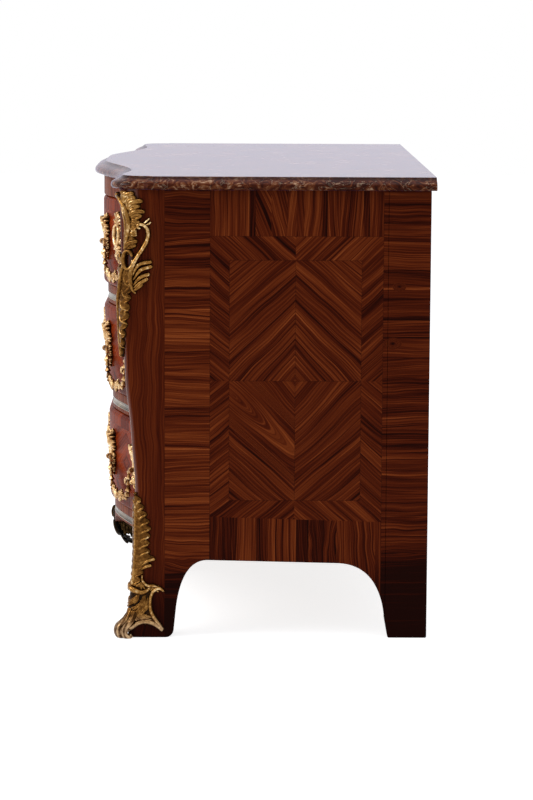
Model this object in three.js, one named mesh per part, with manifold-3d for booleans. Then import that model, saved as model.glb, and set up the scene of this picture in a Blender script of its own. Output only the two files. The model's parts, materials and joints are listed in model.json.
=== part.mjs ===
// Bow-fronted commode chest with three rows of drawers, a moulded marble top and gilt bronze mounts.
// Millimetres, +Z up, the front at -Y, the floor at z = 0 and the middle of the chest at x = 0.
import * as THREE from "three";
import { mergeVertices } from "three/addons/utils/BufferGeometryUtils.js";
import Module from "manifold-3d";

const wasm = await Module();
wasm.setup();

// Overall size
const width = 1300;
const depth = 658;
const height = 866;

// Fits: the running gap round a drawer front, the gap between touching shaped faces, and the overrun of cuts
const reveal = 1;
const clearance = 0.3;
const overrun = 10;

// Marble top
const topThickness = 24;
const sideOverhang = 17;
const backOverhang = 9;
const frontOverhang = 18;
const lobeOverhang = 17;
const hollowOverhang = 26;
const slabFlat = 70;
const slabHollow = 440;
const lobeAcross = 65;
const lobeForward = 62;
const stepAcross = 10;
const stepForward = 9;
const mouldingInset = 22;
const mouldingShares = [[0.22, 0], [0, 0.22], [0.04, 0.42], [0.3, 0.68], [0.82, 0.84], [1, 1]];

// Carcass planes that follow from the top
const caseHalf = width / 2 - sideOverhang;
const caseTop = height - topThickness;
const caseBack = depth / 2 - backOverhang;
const facePeak = frontOverhang - depth / 2;

// Serpentine front: flat in the middle, a wave back to the hollow, and a slight lean backwards lower down
const waveFlat = 90;
const waveRun = 340;
const waveDepth = 74;
const leanDepth = 13;
const leanTop = 640;
const leanBottom = 250;
const faceHollow = facePeak + waveDepth;

// Heights of the frieze, the rails and the apron: the three rows of drawers share what is left
const friezeHeight = 43;
const railHeight = 38;
const apronLevel = 179;
const apronHeight = 34;
const topRowShare = 0.329;
const middleRowShare = 0.3253;

// Rails: set back from the drawer faces, with a brass flute let in
const railRecess = 8;
const friezeRecess = 1;
const railDepth = 50;
const railRound = 3;
const fluteDrop = 17;
const fluteHeight = 13;
const fluteDepth = 6;
const fluteHollow = 3.4;
const fluteLip = 1.6;

// Apron: a drop in the middle and brackets down to the legs
const apronDrop = 26;
const apronDropFlat = 70;
const apronDropRun = 90;
const bracketRun = 115;

// Front posts, which run down into the legs
const postWidth = 88;
const postProud = 20;
const postDepth = 105;
const legBow = 30;
const legBowShares = [
  [0, 0.5], [0.089, 0.733], [0.156, 0.933], [0.266, 1], [0.355, 0.967], [0.422, 0.8],
  [0.488, 0.667], [0.555, 0.433], [0.629, 0.3], [0.76, 0.167], [1, 0],
];
const postLevelShares = [
  0.03, 0.06, 0.089, 0.118, 0.143, 0.178, 0.266, 0.355, 0.422, 0.488, 0.555, 0.629, 0.71, 0.8, 0.9, 1,
];
const cornerRoundTop = 42;
const cornerRoundLow = 9;
const cornerRoundFrom = 560;
const cornerFacets = 4;
const bracketHeight = 120;
const footTaper = 40;
const footLift = 4;
const heelHeight = 50;
const heelIn = 5;

// End panels and rear posts, with the arch between the feet
const panelThickness = 20;
const rearPostWidth = 43;
const rearPostDepth = 79;
const archRise = 148;
const archFall = 5;
const archFrontRun = 60;
const archBackRun = 93;
const archPull = 10;
const rearHeelHeight = 33;
const rearHeelIn = 6;

// Framed back
const backThickness = 18;
const backInset = 4;
const backBottom = 120;
const backStile = 90;
const backFieldDepth = 6;
const backFields = 3;

// Boards inside the case
const deckThickness = 12;
const topBoardThickness = 18;
const guideWidth = 20;
const guideHeight = 14;
const dividerThickness = 24;

// Drawers
const frontThickness = 24;
const edgeRound = 9;
const boxWall = 12;
const boxHeadroom = 14;
const boxInset = 1.5;
const boxTail = 12;
const bottomThickness = 8;
const bottomRebate = 6;

// Handles: two studs on leafy plates carry one swinging bail
const handleX = 268;
const handleReach = 88;
const handleRaise = 10;
const plateClearance = 0.6;
const plateHalfWidth = 19;
const plateHalfHeight = 45;
const plateEdge = 1.4;
const plateRelief = 4;
const plateTopShare = 0.6;
const pivotOut = 12;
const pivotDrop = 10;
const studRadius = 6.5;
const studShoulderShare = 0.8;
const stemRadius = 4.5;
const pinRadius = 2.5;
const pinHoleRadius = 3.2;
const bailDrop = 63;
const bailArmIn = 20;
const bailArmRadius = 4;
const bailKnotRadius = 6.5;
const bailPinPoints = 2;
const plateOutlineShares = [
  [0, 1], [0.4, 0.78], [0.25, 0.64], [0.95, 0.48], [0.6, 0.2],
  [0.95, -0.4], [0.3, -0.62], [0.42, -0.8], [0, -1],
];
const bailPathShares = [
  [1, -0.14, 0], [1, 0.38, 0], [1, 0.5, 0.01], [1, 0.85, 0.1], [1, 1, 0.36], [1, 1.15, 0.64], [0.62, 0, 0.9],
  [0.32, 0, 0.99],
];
const bailGirthShares = [0, 0, 0.1, 0.7, 1, 0.9, 1, 0.9];

// Escutcheons
const escutcheonHalfWidth = 25;
const escutcheonHalfHeight = 50;
const escutcheonRaise = 17;
const escutcheonRelief = 5;
const keyholeRadius = 3.4;
const keyholeSlot = 3;
const keyholeDrop = 12;
const keyholeFlareShare = 1.4;
const escutcheonOutlineShares = [
  [0, 1], [0.3, 0.85], [0.2, 0.73], [0.8, 0.6], [0.6, 0.4], [1, 0.24], [0.78, 0],
  [0.95, -0.22], [0.55, -0.42], [0.7, -0.6], [0.22, -0.74], [0.34, -0.88], [0, -1],
];

// Corner chute: scrolls and leaves on the rounded corner, placed round the corner and down the post
const chuteDrop = 6;
const chuteLength = 308;
const chuteReach = 54;
const chuteRelief = 8;
const chuteBand = 4;
const mountClearance = 0.8;
const tailShares = [
  [0.12, 0.4], [0.09, 0.49], [0, 0.6], [-0.04, 0.7], [-0.04, 0.8], [-0.04, 0.9], [-0.03, 1],
];
const tailWidthShares = [0.15, 0.25, 0.27, 0.24, 0.15, 0.15, 0.05];
const bigScrollShares = [
  [0.46, 0.19], [0.74, 0.2], [0.81, 0.27], [0.66, 0.34], [0.44, 0.385],
  [0.28, 0.45], [0.23, 0.5], [0.28, 0.58], [0.37, 0.6],
];
const frontScrollShares = [[0.32, 0.33], [0.04, 0.36], [-0.09, 0.4], [-0.04, 0.45], [0.24, 0.475]];
const strandShares = [[-0.6, 0.02], [-0.2, 0.04], [0, 0.1], [0.13, 0.17], [0.3, 0.26], [0.28, 0.34]];
const crestShares = [[-0.3, 0.03], [0.15, 0.04], [0.45, 0.09], [0.62, 0.14], [0.6, 0.2]];
const crestReliefShare = 0.8;
const crestWidthShares = [0.06, 0.13, 0.18, 0.15, 0.09];
const sprayShares = [
  [[0.3, 0.45], [0.62, 0.435], [0.97, 0.42]],
  [[0.25, 0.51], [0.6, 0.5], [0.88, 0.49]],
  [[0.15, 0.56], [0.45, 0.555], [0.7, 0.545]],
  [[-0.05, 0.45], [-0.45, 0.435], [-0.8, 0.42]],
  [[-0.08, 0.52], [-0.42, 0.51], [-0.7, 0.5]],
];
const sprayReliefShare = 0.7;
const sprayWidthShares = [0.08, 0.11, 0.04];

// Sabot: a shoe round the foot and a tall leaf up the corner
const shoeHeight = 104;
const shoeThickness = 6;
const shoeReach = 92;
const shoeFrontReach = 46;
const shoeReachShares = [
  [0.1, 0], [0.18, 0.1], [0.3, 0.145], [0.42, 0.13], [0.58, 0.06], [0.83, 0], [0.86, 0.07], [0.74, 0.16],
  [0.66, 0.28], [0.6, 0.42], [0.58, 0.6], [0.64, 0.8], [0.9, 0.86], [0.88, 0.94], [0.56, 0.96], [0.45, 1],
];
const toeInset = 10;
const toeForward = 6;
const toeRadius = 15;
const toeHeight = 30;
const toeShares = [[0, 0], [0.8, 0], [1, 0.2], [0.95, 0.55], [0.6, 0.85], [0, 1]];
const leafTop = 275;
const leafLap = 10;
const leafReach = 34;
const leafRelief = 6;
const leafLobeShares = [
  [0, 0.55], [0.13, 0.5], [0.22, 1], [0.3, 0.55], [0.37, 0.68], [0.44, 0.5],
  [0.63, 0.8], [0.72, 0.4], [0.78, 0.24], [0.92, 0.34], [1, 0.08],
];

// Apron mount: a shell on the middle of the apron that curls under its edge
const apronMountTop = 148;
const apronMountBottom = 66;
const apronMountHalfWidth = 52;
const apronMountRelief = 9;
const apronMountUnder = 34;
const apronTurnShare = 0.1;
const apronCurlShares = [[0.12, 0.4], [0.35, 0.7], [0.65, 0.92], [1, 1]];
const apronSpreadShares = [
  [0.12, 0.3], [0.5, 0.7], [0.82, 0.9], [1, 1], [0.9, 1], [0.62, 1], [0.8, 0.9], [0.45, 0.8], [0.15, 0.5],
];

// Finishes
const veneer = new THREE.MeshStandardMaterial({ color: 0x6a2e1a, roughness: 0.35, metalness: 0 });
const paleVeneer = new THREE.MeshStandardMaterial({ color: 0x9a4322, roughness: 0.35, metalness: 0 });
const oak = new THREE.MeshStandardMaterial({ color: 0x9c7a4c, roughness: 0.7, metalness: 0 });
const marble = new THREE.MeshStandardMaterial({ color: 0x8a5a4c, roughness: 0.2, metalness: 0 });
const giltBronze = new THREE.MeshStandardMaterial({ color: 0xb08a3c, roughness: 0.35, metalness: 1 });
const brass = new THREE.MeshStandardMaterial({ color: 0xa59a6a, roughness: 0.3, metalness: 1 });

// Numbers
function smooth(t) {
  const held = Math.min(1, Math.max(0, t));
  return held * held * (3 - 2 * held);
}

function along(table, at) {
  const last = table.length - 1;
  let k = 1;
  while (k < last && table[k][0] < at) k += 1;
  const [a, from] = table[k - 1];
  const [b, to] = table[k];
  return from + (to - from) * Math.min(1, Math.max(0, (at - a) / (b - a)));
}

function steps(from, to, count) {
  return Array.from({ length: count + 1 }, (_, k) => from + ((to - from) * k) / count);
}

// Solids: a closed set of triangles, turned to face out
function solidOf(points, triangles) {
  const vertProperties = Float32Array.from(points.flat());
  const make = (faces) => {
    const triVerts = Uint32Array.from(faces.flat());
    return new wasm.Manifold(new wasm.Mesh({ numProp: 3, vertProperties, triVerts }));
  };
  const solid = make(triangles);
  return solid.volume() > 0 ? solid : make(triangles.map(([a, b, c]) => [a, c, b]));
}

function solidFromGeometry(geometry) {
  for (const name of ["normal", "uv"]) geometry.deleteAttribute(name);
  const merged = mergeVertices(geometry);
  return new wasm.Manifold(
    new wasm.Mesh({
      numProp: 3,
      vertProperties: merged.attributes.position.array,
      triVerts: Uint32Array.from(merged.index.array),
    }),
  );
}

// A ring seen flat, along the axis that it faces most
function flatRing(ring) {
  const normal = [0, 0, 0];
  ring.forEach((p, i) => {
    const q = ring[(i + 1) % ring.length];
    normal[0] += (p[1] - q[1]) * (p[2] + q[2]);
    normal[1] += (p[2] - q[2]) * (p[0] + q[0]);
    normal[2] += (p[0] - q[0]) * (p[1] + q[1]);
  });
  const sizes = normal.map(Math.abs);
  const drop = sizes.indexOf(Math.max(...sizes));
  const kept = [0, 1, 2].filter((axis) => axis !== drop);
  return ring.map((p) => [p[kept[0]], p[kept[1]]]);
}

// Triangles that close a ring: a fan where one point sees all the others, or else ear by ear
const slimmest = 1e-4;

function capTriangles(ring) {
  const flat = flatRing(ring);
  const cross = (a, b, c) => {
    const [u, v] = [b, c].map((i) => [flat[i][0] - flat[a][0], flat[i][1] - flat[a][1]]);
    return u[0] * v[1] - u[1] * v[0];
  };
  const area = flat.reduce((sum, p, i) => {
    const q = flat[(i + 1) % flat.length];
    return sum + p[0] * q[1] - p[1] * q[0];
  }, 0);
  const turn = Math.sign(area);
  const span = (a, b) => Math.hypot(flat[a][0] - flat[b][0], flat[a][1] - flat[b][1]);
  const order = flat.map((_, i) => i);
  const quality = (a, b, c) => {
    const long = Math.max(span(a, b), span(b, c), span(c, a));
    return (turn * cross(a, b, c)) / (long * long);
  };
  for (const hub of order) {
    const fan = order.slice(1, -1).map((k) => [hub, (hub + k) % flat.length, (hub + k + 1) % flat.length]);
    if (fan.every(([a, b, c]) => quality(a, b, c) > slimmest)) return fan;
  }
  const left = [...order];
  const made = [];
  while (left.length > 3) {
    let best = null;
    left.forEach((b, i) => {
      const a = left[(i + left.length - 1) % left.length];
      const c = left[(i + 1) % left.length];
      const shape = quality(a, b, c);
      if (shape < slimmest || (best && shape <= best.shape)) return;
      const sides = [[a, b], [b, c], [c, a]];
      const inside = (p) => sides.every(([from, to]) => turn * cross(from, to, p) >= 0);
      if (left.some((p) => p !== a && p !== b && p !== c && inside(p))) return;
      best = { i, shape, face: [a, b, c] };
    });
    if (!best) throw new Error("a ring crosses itself");
    made.push(best.face);
    left.splice(best.i, 1);
  }
  made.push([...left]);
  return made;
}

// A skin over rings that all have the same number of points, closed at both ends
function loft(rings) {
  const count = rings[0].length;
  const triangles = [];
  for (let r = 0; r + 1 < rings.length; r += 1)
    for (let j = 0; j < count; j += 1) {
      const next = (j + 1) % count;
      const [a, b, c, d] = [r * count + j, r * count + next, (r + 1) * count + next, (r + 1) * count + j];
      triangles.push([a, b, c], [a, c, d]);
    }
  for (const [a, b, c] of capTriangles(rings[0])) triangles.push([a, c, b]);
  const top = (rings.length - 1) * count;
  for (const face of capTriangles(rings.at(-1))) triangles.push(face.map((i) => i + top));
  return solidOf(rings.flat(), triangles);
}

// An outline pushed straight through: across x it is drawn in (y, z), across y in (x, z), across z in (x, y)
function prism(shape, across, from, to, curveSegments) {
  const geometry = new THREE.ExtrudeGeometry(shape, { depth: to - from, bevelEnabled: false, curveSegments });
  const [x, y, z] = [new THREE.Vector3(1, 0, 0), new THREE.Vector3(0, 1, 0), new THREE.Vector3(0, 0, 1)];
  const frame = new THREE.Matrix4();
  if (across === "x") frame.makeBasis(y, z, x).setPosition(from, 0, 0);
  if (across === "y") frame.makeBasis(x, z, y.clone().negate()).setPosition(0, to, 0);
  if (across === "z") frame.setPosition(0, 0, from);
  return solidFromGeometry(geometry.applyMatrix4(frame));
}

function outlineShape(points) {
  return new THREE.Shape(points.map(([u, v]) => new THREE.Vector2(u, v)));
}

function block([x0, x1], [y0, y1], [z0, z1]) {
  const geometry = new THREE.BoxGeometry(x1 - x0, y1 - y0, z1 - z0);
  geometry.translate((x0 + x1) / 2, (y0 + y1) / 2, (z0 + z1) / 2);
  return solidFromGeometry(geometry);
}

function joined(solids) {
  return solids.reduce((whole, solid) => whole.add(solid));
}

// Named pieces
function piece(name, solid, material) {
  const made = solid.getMesh();
  const geometry = new THREE.BufferGeometry();
  geometry.setAttribute("position", new THREE.BufferAttribute(Float32Array.from(made.vertProperties), 3));
  geometry.setIndex(new THREE.BufferAttribute(Uint32Array.from(made.triVerts), 1));
  const flat = geometry.toNonIndexed();
  flat.computeVertexNormals();
  const mesh = new THREE.Mesh(flat, material);
  mesh.name = name;
  return mesh;
}

function mirroredPair(fill) {
  return ["right", "left"].map((side) => {
    const group = new THREE.Group();
    if (side === "left") group.scale.x = -1;
    fill(group, side);
    return group;
  });
}

// Levels of the rows, from the top down
const friezeBottom = caseTop - friezeHeight;
const rowCount = 3;
const rowsHeight = friezeBottom - apronLevel - (rowCount - 1) * railHeight - 2 * rowCount * reveal;
const topRow = rowUnder(friezeBottom, rowsHeight * topRowShare);
const upperRailTop = topRow.bottom - reveal;
const middleRow = rowUnder(upperRailTop - railHeight, rowsHeight * middleRowShare);
const lowerRailTop = middleRow.bottom - reveal;
const bottomRow = rowUnder(lowerRailTop - railHeight, lowerRailTop - railHeight - apronLevel - 2 * reveal);

function rowUnder(level, rowHeight) {
  const top = level - reveal;
  return { top, bottom: top - rowHeight, middle: top - rowHeight / 2 };
}

// Planes of the posts and the inside of the case
const postInner = caseHalf - postWidth;
const postFront = faceHollow - postProud;
const postBack = postFront + postDepth;
const rearFront = caseBack - rearPostDepth;
const backFace = caseBack - backInset - backThickness;
const panelInner = caseHalf - panelThickness;

// The front's curve in plan and its lean down the height
function faceAt(x) {
  return facePeak + waveDepth * smooth((Math.abs(x) - waveFlat) / waveRun);
}

function faceSlope(x) {
  const t = Math.min(1, Math.max(0, (Math.abs(x) - waveFlat) / waveRun));
  return (Math.sign(x) * waveDepth * 6 * t * (1 - t)) / waveRun;
}

function lean(z) {
  return leanDepth * smooth((leanTop - z) / (leanTop - leanBottom));
}

// A point off the drawer face of a row, standing out square to its curve
function rowLean(row, z) {
  const [low, high] = [row.bottom + edgeRound, row.top - edgeRound];
  return lean(row.bottom) + ((lean(row.top) - lean(row.bottom)) * (z - low)) / (high - low);
}

function facePoint(row, x, z, out) {
  const slope = faceSlope(x);
  const long = Math.hypot(1, slope);
  return [x + (out * slope) / long, faceAt(x) + rowLean(row, z) - out / long, z];
}

// Places across the front where its curve needs a section
function waveStations(from, to, count) {
  const half = steps(waveFlat, waveFlat + waveRun, count);
  const all = [...half.map((x) => -x).reverse(), ...half];
  return [from, ...all.filter((x) => x > from + reveal && x < to - reveal), to];
}

// A bar that follows the front: its section is drawn as (set back from the face, height)
function waveBar(stations, section) {
  return loft(stations.map((x) => section(x).map(([back, z]) => [x, faceAt(x) + back, z])));
}

// Marble top
function slabHalfOutline() {
  const lip = { peak: -depth / 2, hollow: faceHollow - hollowOverhang, lobe: postFront - lobeOverhang };
  const lobeX = width / 2 - stepAcross - lobeAcross;
  const lobeY = lip.lobe + lobeForward;
  const corner = [[width / 2, depth / 2], [width / 2, lobeY + stepForward], [width / 2 - stepAcross, lobeY]];
  const round = steps(0, Math.PI / 2, 6)
    .slice(1)
    .map((a) => [lobeX + lobeAcross * Math.cos(a), lobeY - lobeForward * Math.sin(a)]);
  const swell = steps(lobeX, slabHollow, 3)
    .slice(1)
    .map((x) => [x, lip.hollow + (lip.lobe - lip.hollow) * smooth((x - slabHollow) / (lobeX - slabHollow))]);
  const bow = steps(slabHollow, slabFlat, 10)
    .slice(1)
    .map((x) => [x, lip.peak + (lip.hollow - lip.peak) * smooth((x - slabFlat) / (slabHollow - slabFlat))]);
  return [...corner, ...round, ...swell, ...bow];
}

function insetOutline(points, inset) {
  const normals = points.slice(1).map(([x, y], i) => {
    const [u, v] = [x - points[i][0], y - points[i][1]];
    const long = Math.hypot(u, v);
    return [v / long, -u / long];
  });
  return points.map(([x, y], i) => {
    const a = normals[Math.max(0, i - 1)];
    const b = normals[Math.min(normals.length - 1, i)];
    const scale = inset / (1 + a[0] * b[0] + a[1] * b[1]);
    return [x + scale * (a[0] + b[0]), y + scale * (a[1] + b[1])];
  });
}

function marbleTop() {
  const half = slabHalfOutline();
  const outline = [...half, ...half.map(([x, y]) => [-x, y]).reverse()];
  const rings = mouldingShares.map(([insetShare, riseShare]) => {
    const level = caseTop + topThickness * riseShare;
    return insetOutline(outline, mouldingInset * insetShare).map(([x, y]) => [x, y, level]);
  });
  return loft(rings);
}

// Rails, apron and their brass flutes
function fluteBand(railTop) {
  return { top: railTop - fluteDrop, bottom: railTop - fluteDrop - fluteHeight };
}

function flutedSection(top, bottom, groove, bow) {
  const face = railRecess + bow;
  return [
    [face + railDepth, bottom], [face, bottom], [face, groove.bottom], [face + fluteDepth, groove.bottom],
    [face + fluteDepth, groove.top], [face, groove.top], [face, top - railRound], [face + railRound, top],
    [face + railDepth, top],
  ];
}

function railStations() {
  return waveStations(-postInner, postInner, 8);
}

function flutedRail(top) {
  const bottom = top - railHeight;
  const bow = lean(top - railHeight / 2);
  return waveBar(railStations(), () => flutedSection(top, bottom, fluteBand(top), bow));
}

function topRail() {
  const face = friezeRecess + lean(caseTop);
  const back = railRecess + railDepth + lean(caseTop);
  const section = [
    [back, friezeBottom], [face + railRound, friezeBottom], [face, friezeBottom + railRound],
    [face, caseTop], [back, caseTop],
  ];
  return waveBar(railStations(), () => section);
}

function apronEdge(x) {
  const middle = 1 - smooth((Math.abs(x) - apronDropFlat) / apronDropRun);
  const end = Math.max(0, (Math.abs(x) - (postInner - bracketRun)) / bracketRun);
  const level = apronLevel - apronHeight;
  return level - apronDrop * middle - (level - bracketHeight) * end * end;
}

function apronStations() {
  const extra = [
    ...steps(apronDropFlat, apronDropFlat + apronDropRun, 4),
    ...steps(postInner - bracketRun, postInner, 4).slice(1, -1),
  ];
  const near = (x) => extra.some((e) => Math.abs(Math.abs(x) - e) < overrun);
  const wave = railStations().filter((x) => !near(x));
  return [...wave, ...extra, ...extra.map((x) => -x)].sort((a, b) => a - b);
}

function apronRail() {
  const bow = lean(apronLevel);
  return waveBar(apronStations(), (x) => flutedSection(apronLevel, apronEdge(x), fluteBand(apronLevel), bow));
}

function flute(railTop, bow, stations) {
  const groove = fluteBand(railTop);
  const face = railRecess + bow;
  const section = [
    [face + fluteDepth - clearance, groove.bottom], [face, groove.bottom], [face, groove.bottom + fluteLip],
    [face + fluteHollow, (groove.bottom + groove.top) / 2], [face, groove.top - fluteLip], [face, groove.top],
    [face + fluteDepth - clearance, groove.top],
  ];
  return waveBar(stations, () => section);
}

// Front posts: sections up the height, each drawn round from the inner back corner
function legTip(z) {
  return postFront + legBow * along(legBowShares, z / caseTop);
}

function postSection(z, grow) {
  const inner = postInner + footTaper * (1 - Math.pow(Math.min(1, z / bracketHeight), 3)) - grow;
  const back = postBack - heelIn * (1 - Math.min(1, z / heelHeight)) + grow;
  const outer = caseHalf + grow;
  const tip = legTip(z) - grow;
  const opened = smooth((z - cornerRoundFrom) / (caseTop - cornerRoundFrom));
  const radius = cornerRoundLow + (cornerRoundTop - cornerRoundLow) * opened + grow;
  const shoulder = faceHollow + lean(z) + railRecess - grow;
  const corner = steps(0, Math.PI / 2, cornerFacets).map((a) => [
    outer - radius + radius * Math.cos(a),
    tip + radius - radius * Math.sin(a),
  ]);
  const sweep = steps(0, 1, 4)
    .slice(1)
    .map((t) => [outer - radius + (inner - outer + radius) * t, tip + (shoulder - tip) * smooth(t)]);
  return [[inner, back], [outer, back], ...corner, ...sweep];
}

const postLevels = [footLift, ...postLevelShares.map((share) => caseTop * share)];

function frontPost(grow, from, to) {
  const levels = [from, ...postLevels.filter((z) => z > from + reveal && z < to - reveal), to];
  return loft(levels.map((z) => postSection(z, grow).map(([x, y]) => [x, y, z])));
}

// A point off the post's outer corner: round is measured from the corner towards the end panel
function cornerPoint(round, z, out) {
  let k = 1;
  while (k < postLevels.length - 1 && postLevels[k] < z) k += 1;
  const share = (z - postLevels[k - 1]) / (postLevels[k] - postLevels[k - 1]);
  const below = postSection(postLevels[k - 1], 0);
  const above = postSection(postLevels[k], 0);
  const line = below.map((p, i) => new THREE.Vector2(...p).lerp(new THREE.Vector2(...above[i]), share));
  const outer = line.slice(1);
  const middle = 1 + cornerFacets / 2;
  const towards = round >= 0 ? -1 : 1;
  let at = middle;
  let rest = Math.abs(round);
  while (outer[at + 2 * towards] && rest > outer[at].distanceTo(outer[at + towards])) {
    rest -= outer[at].distanceTo(outer[at + towards]);
    at += towards;
  }
  const next = at + towards;
  const part = rest / outer[at].distanceTo(outer[next]);
  const normalAt = (i) => {
    const a = outer[Math.max(0, i - 1)];
    const b = outer[Math.min(outer.length - 1, i + 1)];
    return new THREE.Vector2(a.y - b.y, b.x - a.x).normalize();
  };
  const normal = normalAt(at).lerp(normalAt(next), Math.min(1, part)).normalize();
  const foot = outer[at].clone().lerp(outer[next], part);
  return [foot.x + normal.x * out, foot.y + normal.y * out, z];
}

// End panel, rear post and framed back
function sidePanel() {
  const shape = new THREE.Shape();
  shape.moveTo(postBack, caseTop);
  shape.lineTo(postBack, heelHeight);
  shape.quadraticCurveTo(postBack + archPull, archRise, postBack + archFrontRun, archRise);
  shape.lineTo(rearFront - archBackRun, archRise - archFall);
  shape.quadraticCurveTo(rearFront - archPull, archRise - archFall, rearFront, rearHeelHeight);
  shape.lineTo(rearFront, caseTop);
  return prism(shape, "x", panelInner, caseHalf, 10);
}

function rearPost() {
  const outline = [
    [rearFront, caseTop], [rearFront, rearHeelHeight], [rearFront + rearHeelIn, 0],
    [caseBack, 0], [caseBack, caseTop],
  ];
  return prism(outlineShape(outline), "x", caseHalf - rearPostWidth, caseHalf, 1);
}

function backPanel() {
  const half = caseHalf - rearPostWidth;
  const board = block([-half, half], [backFace, backFace + backThickness], [backBottom, caseTop]);
  const pitch = (2 * half - backStile) / backFields;
  const fields = Array.from({ length: backFields }, (_, k) => {
    const from = backStile - half + pitch * k;
    const level = backFace + backThickness - backFieldDepth;
    const heights = [backBottom + backStile, caseTop - backStile];
    return block([from, from + pitch - backStile], [level, level + overrun], heights);
  });
  return board.subtract(joined(fields));
}

// Boards that run the depth of the case, notched round the posts
function deckOutline(level) {
  const stations = railStations();
  const half = caseHalf - rearPostWidth;
  return [
    ...stations.map((x) => [x, faceAt(x) + railRecess + lean(level) + railDepth + clearance]),
    [postInner, postBack], [panelInner, postBack], [panelInner, rearFront], [half, rearFront],
    [half, backFace], [-half, backFace], [-half, rearFront], [-panelInner, rearFront],
    [-panelInner, postBack], [-postInner, postBack],
  ];
}

function deck(top, railMiddle) {
  const board = prism(outlineShape(deckOutline(railMiddle)), "z", top - deckThickness, top, 1);
  const guides = [-1, 1].map((side) => {
    const edges = [side * postInner, side * (postInner + guideWidth)].sort((a, b) => a - b);
    return block(edges, [postBack, rearFront], [top - deckThickness / 2, top + guideHeight]);
  });
  return joined([board, ...guides]);
}

function caseTopBoard() {
  return prism(outlineShape(deckOutline(caseTop)), "z", caseTop - topBoardThickness, caseTop, 1);
}

function topRowDivider() {
  const front = facePeak + railRecess;
  const behindRail = front + railDepth + clearance;
  const outline = [
    [front, upperRailTop], [backFace, upperRailTop], [backFace, caseTop - topBoardThickness],
    [behindRail, caseTop - topBoardThickness], [behindRail, friezeBottom], [front, friezeBottom],
  ];
  return prism(outlineShape(outline), "x", -dividerThickness / 2, dividerThickness / 2, 1);
}

// Drawers
function drawerFront(row, from, to) {
  const back = frontThickness + lean(row.middle);
  const turned = (a) => [edgeRound * (1 - Math.sin(a)), edgeRound * (1 - Math.cos(a))];
  const rounds = steps(0, Math.PI / 2, 2).map(turned);
  const section = [
    [back, row.bottom],
    ...rounds.map(([set, rise]) => [set + lean(row.bottom), row.bottom + rise]),
    ...[...rounds].reverse().map(([set, rise]) => [set + lean(row.top), row.top - rise]),
    [back, row.top],
  ];
  return waveBar(waveStations(from, to, 14), () => section);
}

function drawerInside(row, from, to, inset, frontGap) {
  const near = from + boxInset + inset;
  const far = to - boxInset - inset;
  const line = (x) => faceAt(x) + frontThickness + lean(row.middle) + frontGap;
  const front = waveStations(near, far, 14).map((x) => [x, line(x)]);
  return [...front, [far, backFace - boxTail - inset], [near, backFace - boxTail - inset]];
}

function drawerBottomSolid(row, from, to, inset, rise) {
  const level = row.bottom - reveal + clearance;
  const outline = drawerInside(row, from, to, inset, clearance);
  return prism(outlineShape(outline), "z", level - rise, level + bottomThickness + rise, 1);
}

function drawerBottom(row, from, to) {
  return drawerBottomSolid(row, from, to, boxWall - bottomRebate + clearance, 0);
}

function drawerBox(row, from, to) {
  const [near, far] = [from + boxInset, to - boxInset];
  const line = (x) => faceAt(x) + frontThickness + lean(row.middle) + clearance;
  const tail = backFace - boxTail;
  const outline = [
    [near, line(near + boxWall)], [near + boxWall, line(near + boxWall)], [near + boxWall, tail - boxWall],
    [far - boxWall, tail - boxWall], [far - boxWall, line(far - boxWall)], [far, line(far - boxWall)],
    [far, tail], [near, tail],
  ];
  const level = row.bottom - reveal + clearance;
  const walls = prism(outlineShape(outline), "z", level, row.top - boxHeadroom, 1);
  const seat = drawerBottomSolid(row, from, to, boxWall - bottomRebate, clearance);
  return walls.subtract(seat);
}

// Cast mounts: a raised plate on an outline given as shares of its half width and half height
function reliefPlate(shares, halfWidth, halfHeight, rise, place) {
  const half = shares.map(([u, v]) => [u * halfWidth, v * halfHeight]);
  const outline = [...half, ...half.slice(1, -1).map(([u, v]) => [-u, v]).reverse()];
  const foot = plateClearance;
  const layers = [[1, foot], [1, foot + plateEdge], [plateTopShare, foot + rise]];
  const rings = layers.map(([scale, out]) =>
    outline.map(([u, v]) => place(u * scale, (v * (1 + scale)) / 2, out)),
  );
  return loft(rings);
}

function facePlace(row, x, z) {
  const long = Math.hypot(1, faceSlope(x));
  return (u, v, out) => facePoint(row, x + u / long, z + v, out);
}

// Turned studs and pin holes, placed along a direction
function lathed(profile, sides, at, axis) {
  const geometry = new THREE.LatheGeometry(profile.map(([r, h]) => new THREE.Vector2(r, h)), sides);
  const turn = new THREE.Quaternion().setFromUnitVectors(new THREE.Vector3(0, 1, 0), axis);
  geometry.applyQuaternion(turn).translate(at.x, at.y, at.z);
  return solidFromGeometry(geometry);
}

function handleEnds(row, z) {
  const ends = [handleX - handleReach, handleX + handleReach];
  return ends.map((x) => new THREE.Vector3(...facePoint(row, x, z - pivotDrop, pivotOut)));
}

function backplate(row, x, z, chord) {
  const place = facePlace(row, x, z);
  const plate = reliefPlate(plateOutlineShares, plateHalfWidth, plateHalfHeight, plateRelief, place);
  const foot = new THREE.Vector3(...place(0, -pivotDrop, plateClearance + plateEdge));
  const pivot = new THREE.Vector3(...place(0, -pivotDrop, pivotOut));
  const out = pivot.clone().sub(foot).normalize();
  const reach = pivot.distanceTo(foot);
  const profile = [
    [0, 0], [stemRadius, 0], [stemRadius, reach - studRadius], [studRadius, reach],
    [stemRadius, reach + studRadius * studShoulderShare], [0, reach + studRadius],
  ];
  const stud = lathed(profile, 6, foot, out);
  const bore = [[0, 0], [pinHoleRadius, 0], [pinHoleRadius, 2 * overrun], [0, 2 * overrun]];
  const hole = lathed(bore, 6, pivot.clone().addScaledVector(chord, -overrun), chord);
  return plate.add(stud).subtract(hole);
}

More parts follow.
